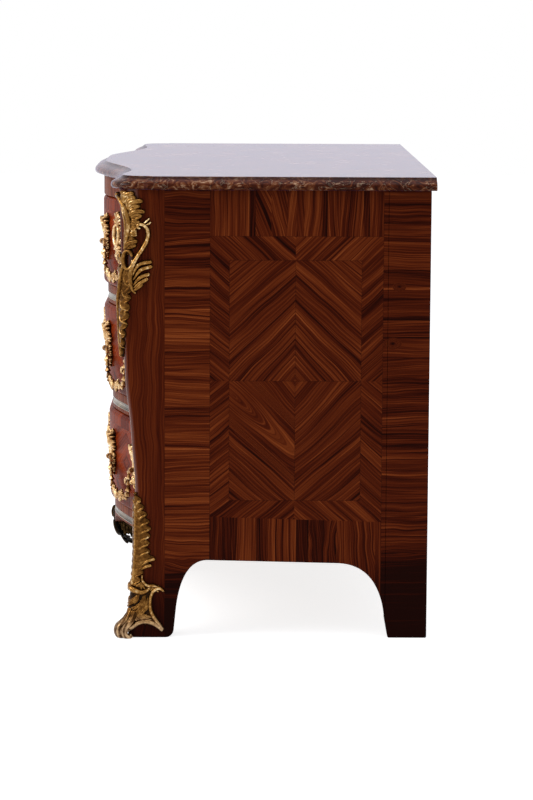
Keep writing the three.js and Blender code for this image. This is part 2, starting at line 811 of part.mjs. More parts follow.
// A bail hangs in its own frame: x along the pins, -y off the face, -z down
function bail(halfSpan) {
  const half = bailPathShares.map(([span, arm, drop]) => [
    halfSpan * span - bailArmIn * arm,
    -bailDrop * drop,
  ]);
  const points = [...half, [0, -bailDrop], ...half.map(([x, z]) => [-x, z]).reverse()];
  const girth = (share) => pinRadius + (bailArmRadius - pinRadius) * share;
  const arm = bailGirthShares.map(girth);
  const radii = [...arm, bailKnotRadius, ...[...arm].reverse()];
  const places = points.map(([x, z]) => new THREE.Vector3(x, 0, z));
  const curve = new THREE.CatmullRomCurve3(places, false, "centripetal");
  const last = radii.length - 1;
  const halves = steps(bailPinPoints, last - bailPinPoints, 2 * (last - 2 * bailPinPoints));
  const stations = [...steps(0, bailPinPoints - 1, bailPinPoints - 1), ...halves];
  const rings = [...stations, ...steps(last - bailPinPoints + 1, last, bailPinPoints - 1)].map((place) => {
    const t = place / last;
    const at = curve.getPoint(t);
    const heading = curve.getTangent(t);
    const side = new THREE.Vector3(heading.z, 0, -heading.x);
    const radius = along(radii.map((r, i) => [i, r]), place);
    return steps(0, 2 * Math.PI, 6).slice(0, -1).map((a) => {
      const p = at.clone().addScaledVector(side, radius * Math.cos(a));
      return [p.x, p.y + radius * Math.sin(a), p.z];
    });
  });
  return loft(rings);
}

function escutcheon(row, x, z) {
  const place = facePlace(row, x, z);
  const [halfWidth, halfHeight] = [escutcheonHalfWidth, escutcheonHalfHeight];
  const plate = reliefPlate(escutcheonOutlineShares, halfWidth, halfHeight, escutcheonRelief, place);
  const shape = new THREE.Shape();
  const slot = keyholeSlot / 2;
  const neck = Math.sqrt(keyholeRadius * keyholeRadius - slot * slot);
  const turn = Math.asin(slot / keyholeRadius);
  shape.moveTo(slot, -neck);
  shape.absarc(0, 0, keyholeRadius, turn - Math.PI / 2, 1.5 * Math.PI - turn, false);
  shape.lineTo(-slot * keyholeFlareShare, -keyholeDrop);
  shape.lineTo(slot * keyholeFlareShare, -keyholeDrop);
  const keyhole = prism(shape, "y", -overrun, overrun, 6);
  const [px, py, pz] = place(0, 0, 0);
  const turned = THREE.MathUtils.radToDeg(Math.atan(faceSlope(x)));
  return plate.subtract(keyhole.rotate([0, 0, turned]).translate([px, py, pz]));
}

// A ribbon of cast metal laid on the corner along a path: its section is drawn as (across, rise) shares
const bandSection = [[-1, 0], [-0.6, 0.8], [0, 1], [0.6, 0.8], [1, 0]];
const wideSection = [[-1, 0], [-0.6, 0.7], [0, 1], [0.6, 0.7], [1, 0], [0, 0]];
const cornerSection = [[-1, 0], [-0.6, 0.7], [0, 1], [0.6, 0.7], [1, 0], [0.22, 0], [-0.22, 0]];

function ribbon(path, halfWidths, relief, section) {
  const rings = path.map(([round, z], i) => {
    const [a, b] = [path[Math.max(0, i - 1)], path[Math.min(path.length - 1, i + 1)]];
    const long = Math.hypot(b[0] - a[0], b[1] - a[1]);
    const side = [(a[1] - b[1]) / long, (b[0] - a[0]) / long];
    return section.map(([across, rise]) => {
      const reach = halfWidths[i] * across;
      return cornerPoint(round + side[0] * reach, z + side[1] * reach, mountClearance + relief * rise);
    });
  });
  return loft(rings);
}

const chuteTop = caseTop - chuteDrop;

function chutePath(shares) {
  return shares.map(([round, down]) => [round * chuteReach, chuteTop - down * chuteLength]);
}

function cornerChute() {
  const even = (path) => path.map((_, i) => (i === 0 || i === path.length - 1 ? chuteBand / 2 : chuteBand));
  const bands = [bigScrollShares, frontScrollShares, strandShares].map((shares) => {
    const path = chutePath(shares);
    return ribbon(path, even(path), chuteRelief, bandSection);
  });
  const leaf = (shares, widthShares, riseShare, section) =>
    ribbon(chutePath(shares), widthShares.map((w) => w * chuteReach), chuteRelief * riseShare, section);
  const tail = leaf(tailShares, tailWidthShares, 1, wideSection);
  const crest = leaf(crestShares, crestWidthShares, crestReliefShare, wideSection);
  const sprays = sprayShares.map((shares) => leaf(shares, sprayWidthShares, sprayReliefShare, bandSection));
  const post = frontPost(clearance, chuteTop - chuteLength - overrun * 2, caseTop + overrun);
  return joined([tail, ...bands, crest, ...sprays]).subtract(post);
}

// Sabot: a shell between two offsets of the leg, trimmed on both faces, with a toe and a tall corner leaf
function shoeOutline(start, reach, towards) {
  const edge = shoeReachShares.map(([away, up]) => [start + towards * away * reach, up * shoeHeight]);
  const outside = start - towards * overrun;
  return [[outside, 0], ...edge, [outside, shoeHeight]];
}

function sabotShoe() {
  const shell = frontPost(shoeThickness, 0, shoeHeight);
  const sideOutline = shoeOutline(legTip(0) - shoeThickness, shoeReach, 1);
  const frontOutline = shoeOutline(caseHalf + shoeThickness, shoeFrontReach, -1);
  const outside = caseHalf + shoeThickness + overrun;
  const onSide = prism(outlineShape(sideOutline), "x", postInner - overrun, outside, 1);
  const onFront = prism(outlineShape(frontOutline), "y", postFront - overrun, postBack + overrun, 1);
  return shell.intersect(onSide).intersect(onFront);
}

function sabotToe() {
  const [x, y] = [caseHalf - toeInset, legTip(0) - toeForward];
  const profile = toeShares.map(([r, up]) => [toeRadius * r, toeHeight * up]);
  return lathed(profile, 10, new THREE.Vector3(x, y, 0), new THREE.Vector3(0, 0, 1));
}

function cornerLeaf() {
  const foot = shoeHeight - leafLap;
  const path = leafLobeShares.map(([up]) => [0, foot + (leafTop - foot) * up]);
  return ribbon(path, leafLobeShares.map(([, reach]) => leafReach * reach), leafRelief, cornerSection);
}

function sabot() {
  const leg = frontPost(clearance, -overrun, leafTop + overrun);
  return joined([sabotShoe(), sabotToe(), cornerLeaf()]).subtract(leg);
}

// Apron mount: sections across the chest, set along a line that runs down the apron and curls under its edge
function apronMount() {
  const face = facePeak + railRecess + lean(apronLevel) - clearance;
  const edge = apronEdge(0) - clearance;
  const drop = edge - apronMountBottom;
  const line = [
    ...steps(apronMountTop, edge - drop * apronTurnShare, 4).map((z) => [face, z]),
    ...apronCurlShares.map(([back, down]) => [face + apronMountUnder * back, edge - drop * down]),
  ];
  const rings = line.map(([y, z], i) => {
    const [a, b] = [line[Math.max(0, i - 1)], line[Math.min(line.length - 1, i + 1)]];
    const long = Math.hypot(b[0] - a[0], b[1] - a[1]);
    const out = [(b[1] - a[1]) / long, (a[0] - b[0]) / long];
    const [spread, rise] = apronSpreadShares[i];
    return bandSection.map(([across, up]) => {
      const proud = apronMountRelief * rise * up;
      return [apronMountHalfWidth * spread * across, y + out[0] * proud, z + out[1] * proud];
    });
  });
  return loft(rings);
}

// Assembly
const chest = new THREE.Group();
chest.name = "commode_chest";

chest.add(
  piece("marble_top", marbleTop(), marble),
  piece("case_top_board", caseTopBoard(), oak),
  piece("back_panel", backPanel(), oak),
  piece("top_rail", topRail(), paleVeneer),
  piece("upper_rail", flutedRail(upperRailTop), paleVeneer),
  piece("lower_rail", flutedRail(lowerRailTop), paleVeneer),
  piece("apron_rail", apronRail(), paleVeneer),
  piece("upper_brass_flute", flute(upperRailTop, lean(upperRailTop - railHeight / 2), railStations()), brass),
  piece("lower_brass_flute", flute(lowerRailTop, lean(lowerRailTop - railHeight / 2), railStations()), brass),
  piece("apron_brass_flute", flute(apronLevel, lean(apronLevel), apronStations()), brass),
  piece("top_row_divider", topRowDivider(), oak),
  piece("upper_dustboard", deck(upperRailTop, upperRailTop - railHeight / 2), oak),
  piece("lower_dustboard", deck(lowerRailTop, lowerRailTop - railHeight / 2), oak),
  piece("bottom_board", deck(apronLevel, apronLevel), oak),
  piece("apron_mount", apronMount(), giltBronze),
);

const carcassSides = mirroredPair((group, side) => {
  group.add(
    piece(side + "_side_panel", sidePanel(), veneer),
    piece(side + "_front_post", frontPost(0, footLift, caseTop), veneer),
    piece(side + "_rear_post", rearPost(), veneer),
    piece(side + "_corner_chute", cornerChute(), giltBronze),
    piece(side + "_sabot", sabot(), giltBronze),
  );
});
chest.add(...carcassSides);

function addDrawer(name, row, from, to) {
  const group = new THREE.Group();
  group.add(
    piece(name + "_front", drawerFront(row, from, to), paleVeneer),
    piece(name + "_box", drawerBox(row, from, to), oak),
    piece(name + "_bottom", drawerBottom(row, from, to), oak),
  );
  chest.add(group);
}

const shortInner = dividerThickness / 2 + reveal;
const drawerHalf = postInner - reveal;
addDrawer("top_right_drawer", topRow, shortInner, drawerHalf);
addDrawer("top_left_drawer", topRow, -drawerHalf, -shortInner);
addDrawer("middle_drawer", middleRow, -drawerHalf, drawerHalf);
addDrawer("bottom_drawer", bottomRow, -drawerHalf, drawerHalf);

for (const [rowName, row] of [["top", topRow], ["middle", middleRow], ["bottom", bottomRow]]) {
  const z = row.middle + handleRaise;
  const raised = row.middle + escutcheonRaise;
  const [inner, outer] = handleEnds(row, z);
  const chord = outer.clone().sub(inner).normalize();
  const handles = mirroredPair((group, side) => {
    const swing = piece(`${rowName}_${side}_bail`, bail(inner.distanceTo(outer) / 2), giltBronze);
    swing.position.copy(inner).add(outer).multiplyScalar(1 / 2);
    swing.rotation.z = Math.atan2(chord.y, chord.x);
    group.add(swing);
    for (const [place, x] of [["inner", handleX - handleReach], ["outer", handleX + handleReach]])
      group.add(piece(`${rowName}_${side}_${place}_backplate`, backplate(row, x, z, chord), giltBronze));
    if (row !== topRow) return;
    group.add(piece(`top_${side}_escutcheon`, escutcheon(row, handleX, raised), giltBronze));
  });
  chest.add(...handles);
  if (row === topRow) continue;
  chest.add(piece(rowName + "_escutcheon", escutcheon(row, 0, raised), giltBronze));
}

export default chest;
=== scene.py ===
"""The looks of a bow-fronted commode chest: rosewood veneer, marble and gilt bronze over its solids.

Metres, +Z up, the front at -Y. Places come from the boxes of the nodes. Cast work is drawn in millimetres.
"""
import json
import math
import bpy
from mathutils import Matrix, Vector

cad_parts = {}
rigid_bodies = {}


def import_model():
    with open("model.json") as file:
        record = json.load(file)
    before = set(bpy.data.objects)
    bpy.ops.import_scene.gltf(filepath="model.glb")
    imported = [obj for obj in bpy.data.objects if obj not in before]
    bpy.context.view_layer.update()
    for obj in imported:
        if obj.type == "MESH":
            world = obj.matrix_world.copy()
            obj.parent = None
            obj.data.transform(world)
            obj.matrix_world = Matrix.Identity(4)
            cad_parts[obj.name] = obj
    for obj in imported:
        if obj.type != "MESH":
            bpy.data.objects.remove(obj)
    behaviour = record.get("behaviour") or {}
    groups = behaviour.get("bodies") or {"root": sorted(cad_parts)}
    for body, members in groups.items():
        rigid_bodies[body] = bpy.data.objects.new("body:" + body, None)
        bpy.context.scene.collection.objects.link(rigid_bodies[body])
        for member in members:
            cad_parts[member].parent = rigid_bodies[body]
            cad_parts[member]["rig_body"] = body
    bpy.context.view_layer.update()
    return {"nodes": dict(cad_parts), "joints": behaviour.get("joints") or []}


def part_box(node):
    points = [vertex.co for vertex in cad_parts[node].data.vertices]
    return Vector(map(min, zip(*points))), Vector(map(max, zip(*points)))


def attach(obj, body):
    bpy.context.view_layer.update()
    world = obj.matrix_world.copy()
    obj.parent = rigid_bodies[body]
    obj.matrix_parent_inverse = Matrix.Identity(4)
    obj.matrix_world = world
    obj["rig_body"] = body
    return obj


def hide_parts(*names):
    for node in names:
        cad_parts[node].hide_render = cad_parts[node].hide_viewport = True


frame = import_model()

from types import SimpleNamespace

import bpy
import numpy as np
from mathutils import Quaternion, Vector

nodes = frame["nodes"]
mm = 0.001

# Places read from the frame
slab_low, slab_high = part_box("marble_top")
post_low, post_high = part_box("right_front_post")
panel_low, panel_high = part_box("right_side_panel")
case_half = panel_high.x
case_top = post_high.z
post_inner = post_low.x
post_front = post_low.y
post_back = panel_low.y
panel_back = panel_high.y

# The front's curve in plan and its lean, as in the solids
wave_flat = 0.090
wave_run = 0.340
wave_depth = 0.074
lean_depth = 0.013
lean_top = 0.640
lean_bottom = 0.250
face_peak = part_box("top_right_drawer_front")[0].y
face_hollow = face_peak + wave_depth
rail_recess = 0.008
frieze_recess = 0.001

# Front posts: how far the corner is bowed at shares of its height, its round, and the foot
leg_bow = 0.030
leg_bow_shares = [
    (0, 0.5), (0.089, 0.733), (0.156, 0.933), (0.266, 1), (0.355, 0.967), (0.422, 0.8),
    (0.488, 0.667), (0.555, 0.433), (0.629, 0.3), (0.76, 0.167), (1, 0),
]
corner_round_top = 0.042
corner_round_low = 0.009
corner_round_from = 0.560
bracket_height = 0.120
foot_taper = 0.040
heel_height = 0.050
heel_in = 0.005
heel_round = 0.014


# Numbers
def smooth(t):
    held = np.clip(t, 0.0, 1.0)
    return held * held * (3 - 2 * held)


def spline(table, at):
    """A smooth curve through a table of (place, value), read at one place or many."""
    x, y = np.array(table, float).T
    slope = np.gradient(y, x)
    at = np.clip(at, x[0], x[-1])
    k = np.clip(np.searchsorted(x, at) - 1, 0, len(x) - 2)
    h = x[k + 1] - x[k]
    t = (at - x[k]) / h
    a, b = y[k], y[k + 1]
    return (
        a * (1 + 2 * t) * (1 - t) ** 2
        + b * t * t * (3 - 2 * t)
        + h * slope[k] * t * (1 - t) ** 2
        - h * slope[k + 1] * t * t * (1 - t)
    )


def run_along(points):
    """How far along a line of points each one lies."""
    return np.concatenate([[0], np.cumsum(np.linalg.norm(np.diff(points, axis=0), axis=1))])


def path_through(points, count):
    """count places spread evenly along a smooth curve through the points."""
    points = np.array(points, float)
    run = run_along(points)
    fine = np.linspace(0, run[-1], count * 8)
    curve = np.stack([spline(list(zip(run, column)), fine) for column in points.T], 1)
    gone = run_along(curve)
    even = np.linspace(0, gone[-1], count)
    return np.stack([np.interp(even, gone, column) for column in curve.T], 1)


def headings(path):
    """The direction of a path at each of its places, one long."""
    ahead = np.gradient(path, axis=0)
    return ahead / (np.linalg.norm(ahead, axis=1)[:, None] + 1e-12)


def around(count):
    """Angles spread evenly round a circle."""
    return np.linspace(0, 2 * math.pi, count + 1)[:-1]


def quadratic(a, b, c, count):
    """A curve from a to c, pulled towards b."""
    t = np.linspace(0, 1, count)[:, None]
    return (1 - t) ** 2 * np.array(a) + 2 * t * (1 - t) * np.array(b) + t * t * np.array(c)


# Meshes
def made(name, points, faces, finish, body, slot, node=None, creased=40):
    """A piece from points and faces: it rides on a body and may stand for a node."""
    mesh = bpy.data.meshes.new(name)
    mesh.from_pydata([tuple(map(float, p)) for p in points], [], [list(map(int, f)) for f in faces])
    mesh.validate()
    mesh.shade_smooth()
    mesh.set_sharp_from_angle(angle=math.radians(creased))
    piece = placed(name, mesh)
    mesh.materials.append(finish)
    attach(piece, body)
    if node:
        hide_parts(node)
    return piece


def placed(name, data):
    """A new object in the scene."""
    thing = bpy.data.objects.new(name, data)
    bpy.context.scene.collection.objects.link(thing)
    return thing


def skin(rings):
    """Points and faces of a skin over rings of equal count. The last two faces cap its ends."""
    rings = np.array(rings, float)
    count, size = rings.shape[:2]
    faces = []
    for r in range(count - 1):
        for j in range(size):
            k = (j + 1) % size
            faces.append((r * size + j, r * size + k, (r + 1) * size + k, (r + 1) * size + j))
    faces.append(tuple(range(size))[::-1])
    faces.append(tuple(range((count - 1) * size, count * size)))
    return rings.reshape(-1, 3), faces


def facing_out(points, faces):
    """The same faces, turned over if they enclose a negative volume."""
    fans = [(f[0], f[i], f[i + 1]) for f in faces for i in range(1, len(f) - 1)]
    a, b, c = (points[list(corner)] for corner in zip(*fans))
    volume = (a * np.cross(b, c)).sum()
    return faces if volume > 0 else [tuple(f)[::-1] for f in faces]


def loft(name, rings, *look, **more):
    points, faces = skin(rings)
    return made(name, points, facing_out(points, faces), *look, **more)


def mirrored(rings, side):
    """Rings drawn for the right-hand side, turned over for the left."""
    return np.array(rings, float) * [-1 if side == "left" else 1, 1, 1]


weld_reach = 1e-5
flat_angle = math.radians(1)
edge_angle = math.radians(35)


def softened(node, finish, width):
    """A node's own shape with small rounds worn along its edges."""
    source = nodes[node]
    mesh = source.data.copy()
    mesh.name = node + "_worn"
    piece = placed(node + "_worn", mesh)
    mesh.materials.clear()
    mesh.materials.append(finish)
    weld = piece.modifiers.new("weld", "WELD")
    weld.merge_threshold = weld_reach
    flatten = piece.modifiers.new("flatten", "DECIMATE")
    flatten.decimate_type = "DISSOLVE"
    flatten.angle_limit = flat_angle
    rounds = piece.modifiers.new("rounds", "BEVEL")
    rounds.width = width
    rounds.segments = 2
    rounds.limit_method = "ANGLE"
    rounds.angle_limit = edge_angle
    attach(piece, source["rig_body"])
    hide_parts(node)


# Finishes
class Value:
    """A socket that takes part in sums: each operator adds the Math node that does it."""

    def __init__(self, finish, socket):
        self.finish, self.socket = finish, socket

    def __add__(self, other):
        return self.finish.math("ADD", self, other)

    def __sub__(self, other):
        return self.finish.math("SUBTRACT", self, other)

    def __rsub__(self, other):
        return self.finish.math("SUBTRACT", other, self)

    def __mul__(self, other):
        return self.finish.math("MULTIPLY", self, other)

    def __truediv__(self, other):
        return self.finish.math("DIVIDE", self, other)

    __radd__ = __add__
    __rmul__ = __mul__


def put_stops(ramp, kind, stops):
    ramp.interpolation = kind
    while len(ramp.elements) < len(stops):
        ramp.elements.new(1)
    for element, (place, colour) in zip(ramp.elements, stops):
        element.position = place
        element.color = (*colour, 1)


class Finish:
    """The nodes of a material or of the world."""

    def __init__(self, owner, end="OutputMaterial"):
        owner.use_nodes = True
        self.owner, self.tree = owner, owner.node_tree
        self.tree.nodes.clear()
        self.end = self.tree.nodes.new("ShaderNode" + end)

    def node(self, kind, settings=None, inputs=None, out=0):
        """Any node: its settings first, then what its sockets hold. Gives one output, or those of a tuple."""
        node = self.tree.nodes.new("ShaderNode" + kind)
        for key, value in (settings or {}).items():
            if key == "stops":
                put_stops(node.color_ramp, *value)
            else:
                setattr(node, key, value)
        for key, value in (inputs or {}).items():
            if isinstance(value, Value):
                self.tree.links.new(value.socket, node.inputs[key])
            elif isinstance(value, tuple):
                node.inputs[key].default_value = (*value, 1)
            else:
                node.inputs[key].default_value = value
        if isinstance(out, tuple):
            return [Value(self, node.outputs[each]) for each in out]
        return Value(self, node.outputs[out])

    def math(self, operation, *values):
        return self.node("Math", {"operation": operation}, dict(enumerate(values)))

    def size(self, value):
        return self.math("ABSOLUTE", value)

    def chain(self, operation, first, *others):
        """One operation over any number of values."""
        for other in others:
            first = self.math(operation, first, other)
        return first

    def most(self, *values):
        return self.chain("MAXIMUM", *values)

    def over(self, value, limit):
        """1 where the value is above the limit, else 0."""
        return self.math("GREATER_THAN", value, limit)

    def under(self, value, limit):
        """1 where the value is below the limit, else 0."""
        return self.math("LESS_THAN", value, limit)

    def vector(self, x, y, z):
        return self.node("CombineXYZ", inputs={0: x, 1: y, 2: z})

    def apart(self, vector):
        return self.node("SeparateXYZ", inputs={0: vector}, out=(0, 1, 2))

    def place(self):
        """x, y and z of the surface, in the chest's own frame."""
        return self.apart(self.node("TexCoord", out="Object"))

    def noise(self, x, y, z, detail=2.0, rough=0.5, warp=0.0):
        shape = {"Scale": 1, "Detail": detail, "Roughness": rough, "Distortion": warp}
        return self.node("TexNoise", {}, {"Vector": self.vector(x, y, z), **shape})

    def cells(self, place, counts, **shape):
        """Noise with so many cells a metre along x, y and z."""
        return self.noise(*[value * count for value, count in zip(place, counts)], **shape)

    def chance(self, value, seed):
        """A fixed number from 0 to 1 for each whole value."""
        return self.node("TexWhiteNoise", {"noise_dimensions": "2D"}, {"Vector": self.vector(value, seed, 0)})

    def ease(self, value, low, high, to_low=0.0, to_high=1.0):
        """Goes smoothly from to_low at low to to_high at high."""
        inputs = {0: value, 1: low, 2: high, 3: to_low, 4: to_high}
        return self.node("MapRange", {"interpolation_type": "SMOOTHSTEP"}, inputs)

    def pick(self, mask, when_on, when_off):
        """when_on where the mask is 1 and when_off where it is 0, for values."""
        return self.node("Mix", {"data_type": "FLOAT"}, {0: mask, 2: when_off, 3: when_on})

    def choose(self, *cases, otherwise):
        """The value of the first case whose mask is 1: cases are (mask, value)."""
        for mask, value in reversed(cases):
            otherwise = self.pick(mask, value, otherwise)
        return otherwise

    def blend(self, share, low, high, kind="MIX"):
        """A mix of two colours."""
        settings = {"data_type": "RGBA", "blend_type": kind}
        return self.node("Mix", settings, {0: share, 6: low, 7: high}, out=2)

    def ramp(self, value, stops, kind="LINEAR"):
        return self.node("ValToRGB", {"stops": (kind, stops)}, {0: value})

    def bands(self, value, table, start, reach):
        """Tone, slant and wildness that a table of rows by place holds at a value, and the row's number."""
        share = (value - start) / reach
        places = [(row[0] - start) / reach for row in table]
        rows = [(tone, slant + 0.5, wild) for _, tone, slant, wild in table]
        numbers = [((k + 0.5) / len(table),) * 3 for k in range(len(table))]
        tone, slant, wild = self.apart(self.ramp(share, list(zip(places, rows)), "CONSTANT"))
        number = self.apart(self.ramp(share, list(zip(places, numbers)), "CONSTANT"))[0]
        return tone, slant - 0.5, wild, number

    def bump(self, height, strength, distance):
        return self.node("Bump", {}, {"Height": height, "Strength": strength, "Distance": distance})

    def seen(self):
        """1 for what the camera sees, straight, in a reflection or through glass."""
        rays = ("Is Camera Ray", "Is Glossy Ray", "Is Transmission Ray")
        return self.most(*self.node("LightPath", out=rays))

    def ends_in(self, shader):
        self.tree.links.new(shader.socket, self.end.inputs["Surface"])
        return self.owner

    def surface(self, **sockets):
        """Ends the material in one Principled shader."""
        names = {key.replace("_", " ").title().replace("Ior", "IOR"): value for key, value in sockets.items()}
        return self.ends_in(self.node("BsdfPrincipled", {}, names))


def material(name):
    return Finish(bpy.data.materials.new(name))


def srgb(red, green, blue):
    """A colour as it is seen, 0 to 255, turned into light."""
    seen = [c / 255 for c in (red, green, blue)]
    return tuple(c / 12.92 if c <= 0.04045 else ((c + 0.055) / 1.055) ** 2.4 for c in seen)


def shades(*rows):
    """The stops of a ramp from rows of (place, red, green, blue)."""
    return [(place, srgb(*colour)) for place, *colour in rows]


# Woods: layers of noise, each with cells a metre along and across the grain, sheet, detail and roughness
rosewood_drift = (4, 6, 0, 2)
rosewood_knots = (16, 24, 5, 1)
rosewood_stripes = [(0.75, (1.5, 58, 3, 2)), (1.2, (3, 330, 7, 3, 0.65)), (0.75, (9, 900, 13, 2))]
rosewood_streaks = (2.2, 140, 11, 2)
rosewood_pores = (45, 1500, 9, 1)
oak_drift = (2, 9, 0, 2)
oak_bands = (1.5, 55, 3, 2)
oak_lines = (4, 420, 7, 3)
oak_pores = (40, 1400, 9, 1)
drift_reach = 0.03
streak_depth = 0.26
streak_edge = (0.56, 0.70)
pore_depth = 0.06
pore_edge = (0.60, 0.74)
rosewood_shades = shades(
    (0.00, 26, 4, 1), (0.20, 52, 12, 3), (0.42, 79, 26, 7), (0.62, 104, 43, 15), (0.82, 132, 63, 26),
    (1.00, 160, 86, 42),
)
oak_shades = shades((0.15, 96, 66, 38), (0.5, 150, 112, 70), (0.85, 186, 150, 104))
veneer_coat = 0.01
veneer_coat_roughness = 0.14
veneer_roughness = (0.1, 0.8, 0.44, 0.33)
veneer_relief = 0.3
veneer_bump = (0.10, 0.0005)
oak_shares = (0.8, 0.7, 0.12)
oak_pore_edge = (0.58, 0.70)
oak_bump = (0.15, 0.0004)
seam_colour = srgb(26, 8, 4)
seam_width = 0.0006
seam_core = 0.4
seam_share = 0.5


def layer(f, along, across, sheet, cells_along, cells_across, offset, detail, rough=0.5):
    """One layer of a wood's figure, drawn out along the grain."""
    return f.noise(along * cells_along, across * cells_across, sheet + offset, detail, rough)


def rosewood(f, along, across, sheet, tone, wild, depth=1):
    """Colour and height of rosewood whose grain runs along, on the sheet of that number."""
    drift = layer(f, along, across, sheet, *rosewood_drift)
    knots = layer(f, along, across, sheet, *rosewood_knots)
    bent = across + (drift - 0.5) * drift_reach + (knots - 0.5) * wild * drift_reach
    broad, lines, fine = [
        (layer(f, along, bent, sheet, *cells) - 0.5) * share for share, cells in rosewood_stripes
    ]
    streaks = f.ease(layer(f, along, bent, sheet, *rosewood_streaks), *streak_edge)
    pores = f.ease(layer(f, along, bent, sheet, *rosewood_pores), *pore_edge)
    stripes = broad + lines + fine - streaks * streak_depth
    figure = tone + stripes * depth - pores * pore_depth
    return f.ramp(figure, rosewood_shades), figure


def veneer_shader(f, colour, figure, sheen=0.02, coat=veneer_coat):
    return f.surface(
        base_color=colour,
        roughness=f.ease(figure, *veneer_roughness),
        specular_ior_level=sheen,
        coat_weight=coat,
        coat_roughness=veneer_coat_roughness,
        normal=f.bump(figure * veneer_relief, *veneer_bump),
    )


def line_at(f, value, at):
    """1 on a thin seam where the value passes a place."""
    return f.ease(f.size(value - at), seam_width * seam_core, seam_width, 1, 0)


def with_seams(f, colour, *seams):
    """The colour, darkened along seams that are 1 where they run."""
    return f.blend(f.math("MINIMUM", f.chain("ADD", *seams), 1) * seam_share, colour, seam_colour)


def round_knot(f, y, z, across, place, size):
    """Grain that closes in rings round a knot, and the knot's darkness."""
    off_y, off_z = y - place[0], (z - place[1]) * knot_flatness
    off = f.math("SQRT", off_y * off_y + off_z * off_z)
    whole, gone = knot_reach
    near = f.ease(off, size * whole, size * gone, 1, 0)
    return f.pick(near, off * knot_rings, across), f.ease(off, 0, size * knot_eye, 1, 0)


# End panel marquetry: seams, the middle's centre and fold, and its frame
strip_edge = -0.1725
column_edge = -0.0885
band_right = 0.2325
band_top = 0.7565
band_low = 0.2305
band_low_fall = 0.028
frame_width = 0.038
centre_y = 0.0700
centre_z = 0.4870
half_core_y = (band_right - column_edge) / 2 - frame_width
half_core_z = (band_top - band_low) / 2 - frame_width
lozenge_rise = 1.12
lozenge_fan = 0.9
opening_line = 0.098
opening_foot = 0.07
opening_stretch = 0.14
opening_sheet = 0.3
opening_edge = (0.03, 0.05)
knot_flatness = 1.5
knot_reach = (0.4, 1.3)
knot_rings = 0.7
knot_eye = 0.6
end_knots = [((0.251, 0.558), 0.013), ((0.262, 0.664), 0.010)]
end_shades = {"core": 0.46, "frame": 0.45, "strip": 0.46}
end_sheets = {"core": 40, "frame": 47, "strip": 20}
core_quarters = (0.10, 5)
frame_quarters = (1, 2)
sheets_apart = 41
strip_wildness = 0.5
middle_wildness = 0.12
# Painted shade: the end darkens towards the floor, from the first height down to the second
end_foot_shade_fade = (0.165, 0.020)
end_foot_painted_shade = 0.34
knot_shade = 0.3
strip_depth = 0.62
panel_depth = 1.1
gloss_from = (0.0001, 0.0016)
gloss_to = (0.005, 0.012)
gloss_coat = 0.6

# Sheets of the border: (place, tone, slant of the grain, wildness), up the columns and across the staves
left_blocks = [
    (0, 0.10, 0, 0.2), (0.12, 0.40, 0, 0.9), (0.149, 0.46, 0, 0.3), (0.232, 0.56, 0, 0.1),
    (0.302, 0.50, 0, 0.1), (0.357, 0.60, 0, 0.0), (0.386, 0.48, 0, 0.2), (0.436, 0.60, 0, 0.0),
    (0.500, 0.50, 0, 0.2), (0.552, 0.62, 0, 0.0), (0.594, 0.60, 0, 0.1), (0.616, 0.50, 0, 0.3),
    (0.691, 0.38, 0, 0.2), (0.7565, 0.36, 0, 0.3),
]
right_blocks = [
    (0, 0.06, 0, 0.1), (0.16, 0.34, 0, 0.4), (0.232, 0.40, 0, 0.2), (0.318, 0.44, 0, 0.3),
    (0.360, 0.34, 0, 0.2), (0.394, 0.46, 0, 0.0), (0.436, 0.36, 0, 0.3), (0.480, 0.34, 0, 0.2),
    (0.530, 0.40, 0, 0.1), (0.598, 0.40, 0, 0.2), (0.664, 0.34, 0, 0.3), (0.694, 0.42, 0, 0.1),
    (0.757, 0.36, 0, 0.1), (0.778, 0.42, 0, 0.2),
]
top_staves = [
    (-0.20, 0.46, 0, 0.1), (-0.066, 0.52, 0, 0.1), (-0.018, 0.18, 0, 0.1), (-0.005, 0.46, 0.45, 0.3),
    (0.024, 0.50, 0.25, 0.3), (0.052, 0.50, -0.12, 0.3), (0.070, 0.44, 0.10, 0.0), (0.084, 0.52, -0.10, 0.1),
    (0.117, 0.22, 0, 0.1), (0.128, 0.52, 0.05, 0.1), (0.150, 0.42, -0.05, 0.1), (0.193, 0.16, 0, 0),
    (0.205, 0.54, 0, 0), (0.226, 0.3, 0, 0),
]
low_staves = [
    (-0.20, 0.22, 0, 0.2), (-0.042, 0.52, 0, 0.1), (-0.002, 0.28, 0, 0), (0.020, 0.56, 0, 0),
    (0.072, 0.24, 0, 0.2), (0.096, 0.30, 0, 0.9), (0.149, 0.50, 0.05, 0.4), (0.221, 0.24, 0, 0),
]
block_reach = (0, 0.9)
stave_reach = (-0.2, 0.5)


def end_fields(f, y, z):
    """Masks of the end: strip and columns at the sides, staves above and below, the core and its frame."""
    at = SimpleNamespace()
    at.strip, at.left, at.right = f.under(y, strip_edge), f.under(y, column_edge), f.over(y, band_right)
    at.above = f.over(z, band_top)
    below = f.under(z + (y - column_edge) * band_low_fall, band_low)
    at.middle = (1 - at.left) * (1 - at.right)
    at.inside = at.middle * (1 - at.above) * (1 - below)
    at.column = at.left * (1 - at.strip) + at.right
    at.staves = at.middle * (1 - at.inside)
    at.fold_y, at.fold_z = f.size(y - centre_y), f.size(z - centre_z)
    at.border = f.most(at.fold_y - half_core_y, at.fold_z - half_core_z)
    at.frame = f.over(at.border, 0) * at.inside
    at.core = at.inside * (1 - at.frame)
    at.far_half, at.upper_half = f.over(y - centre_y, 0), f.over(z - centre_z, 0)
    return at


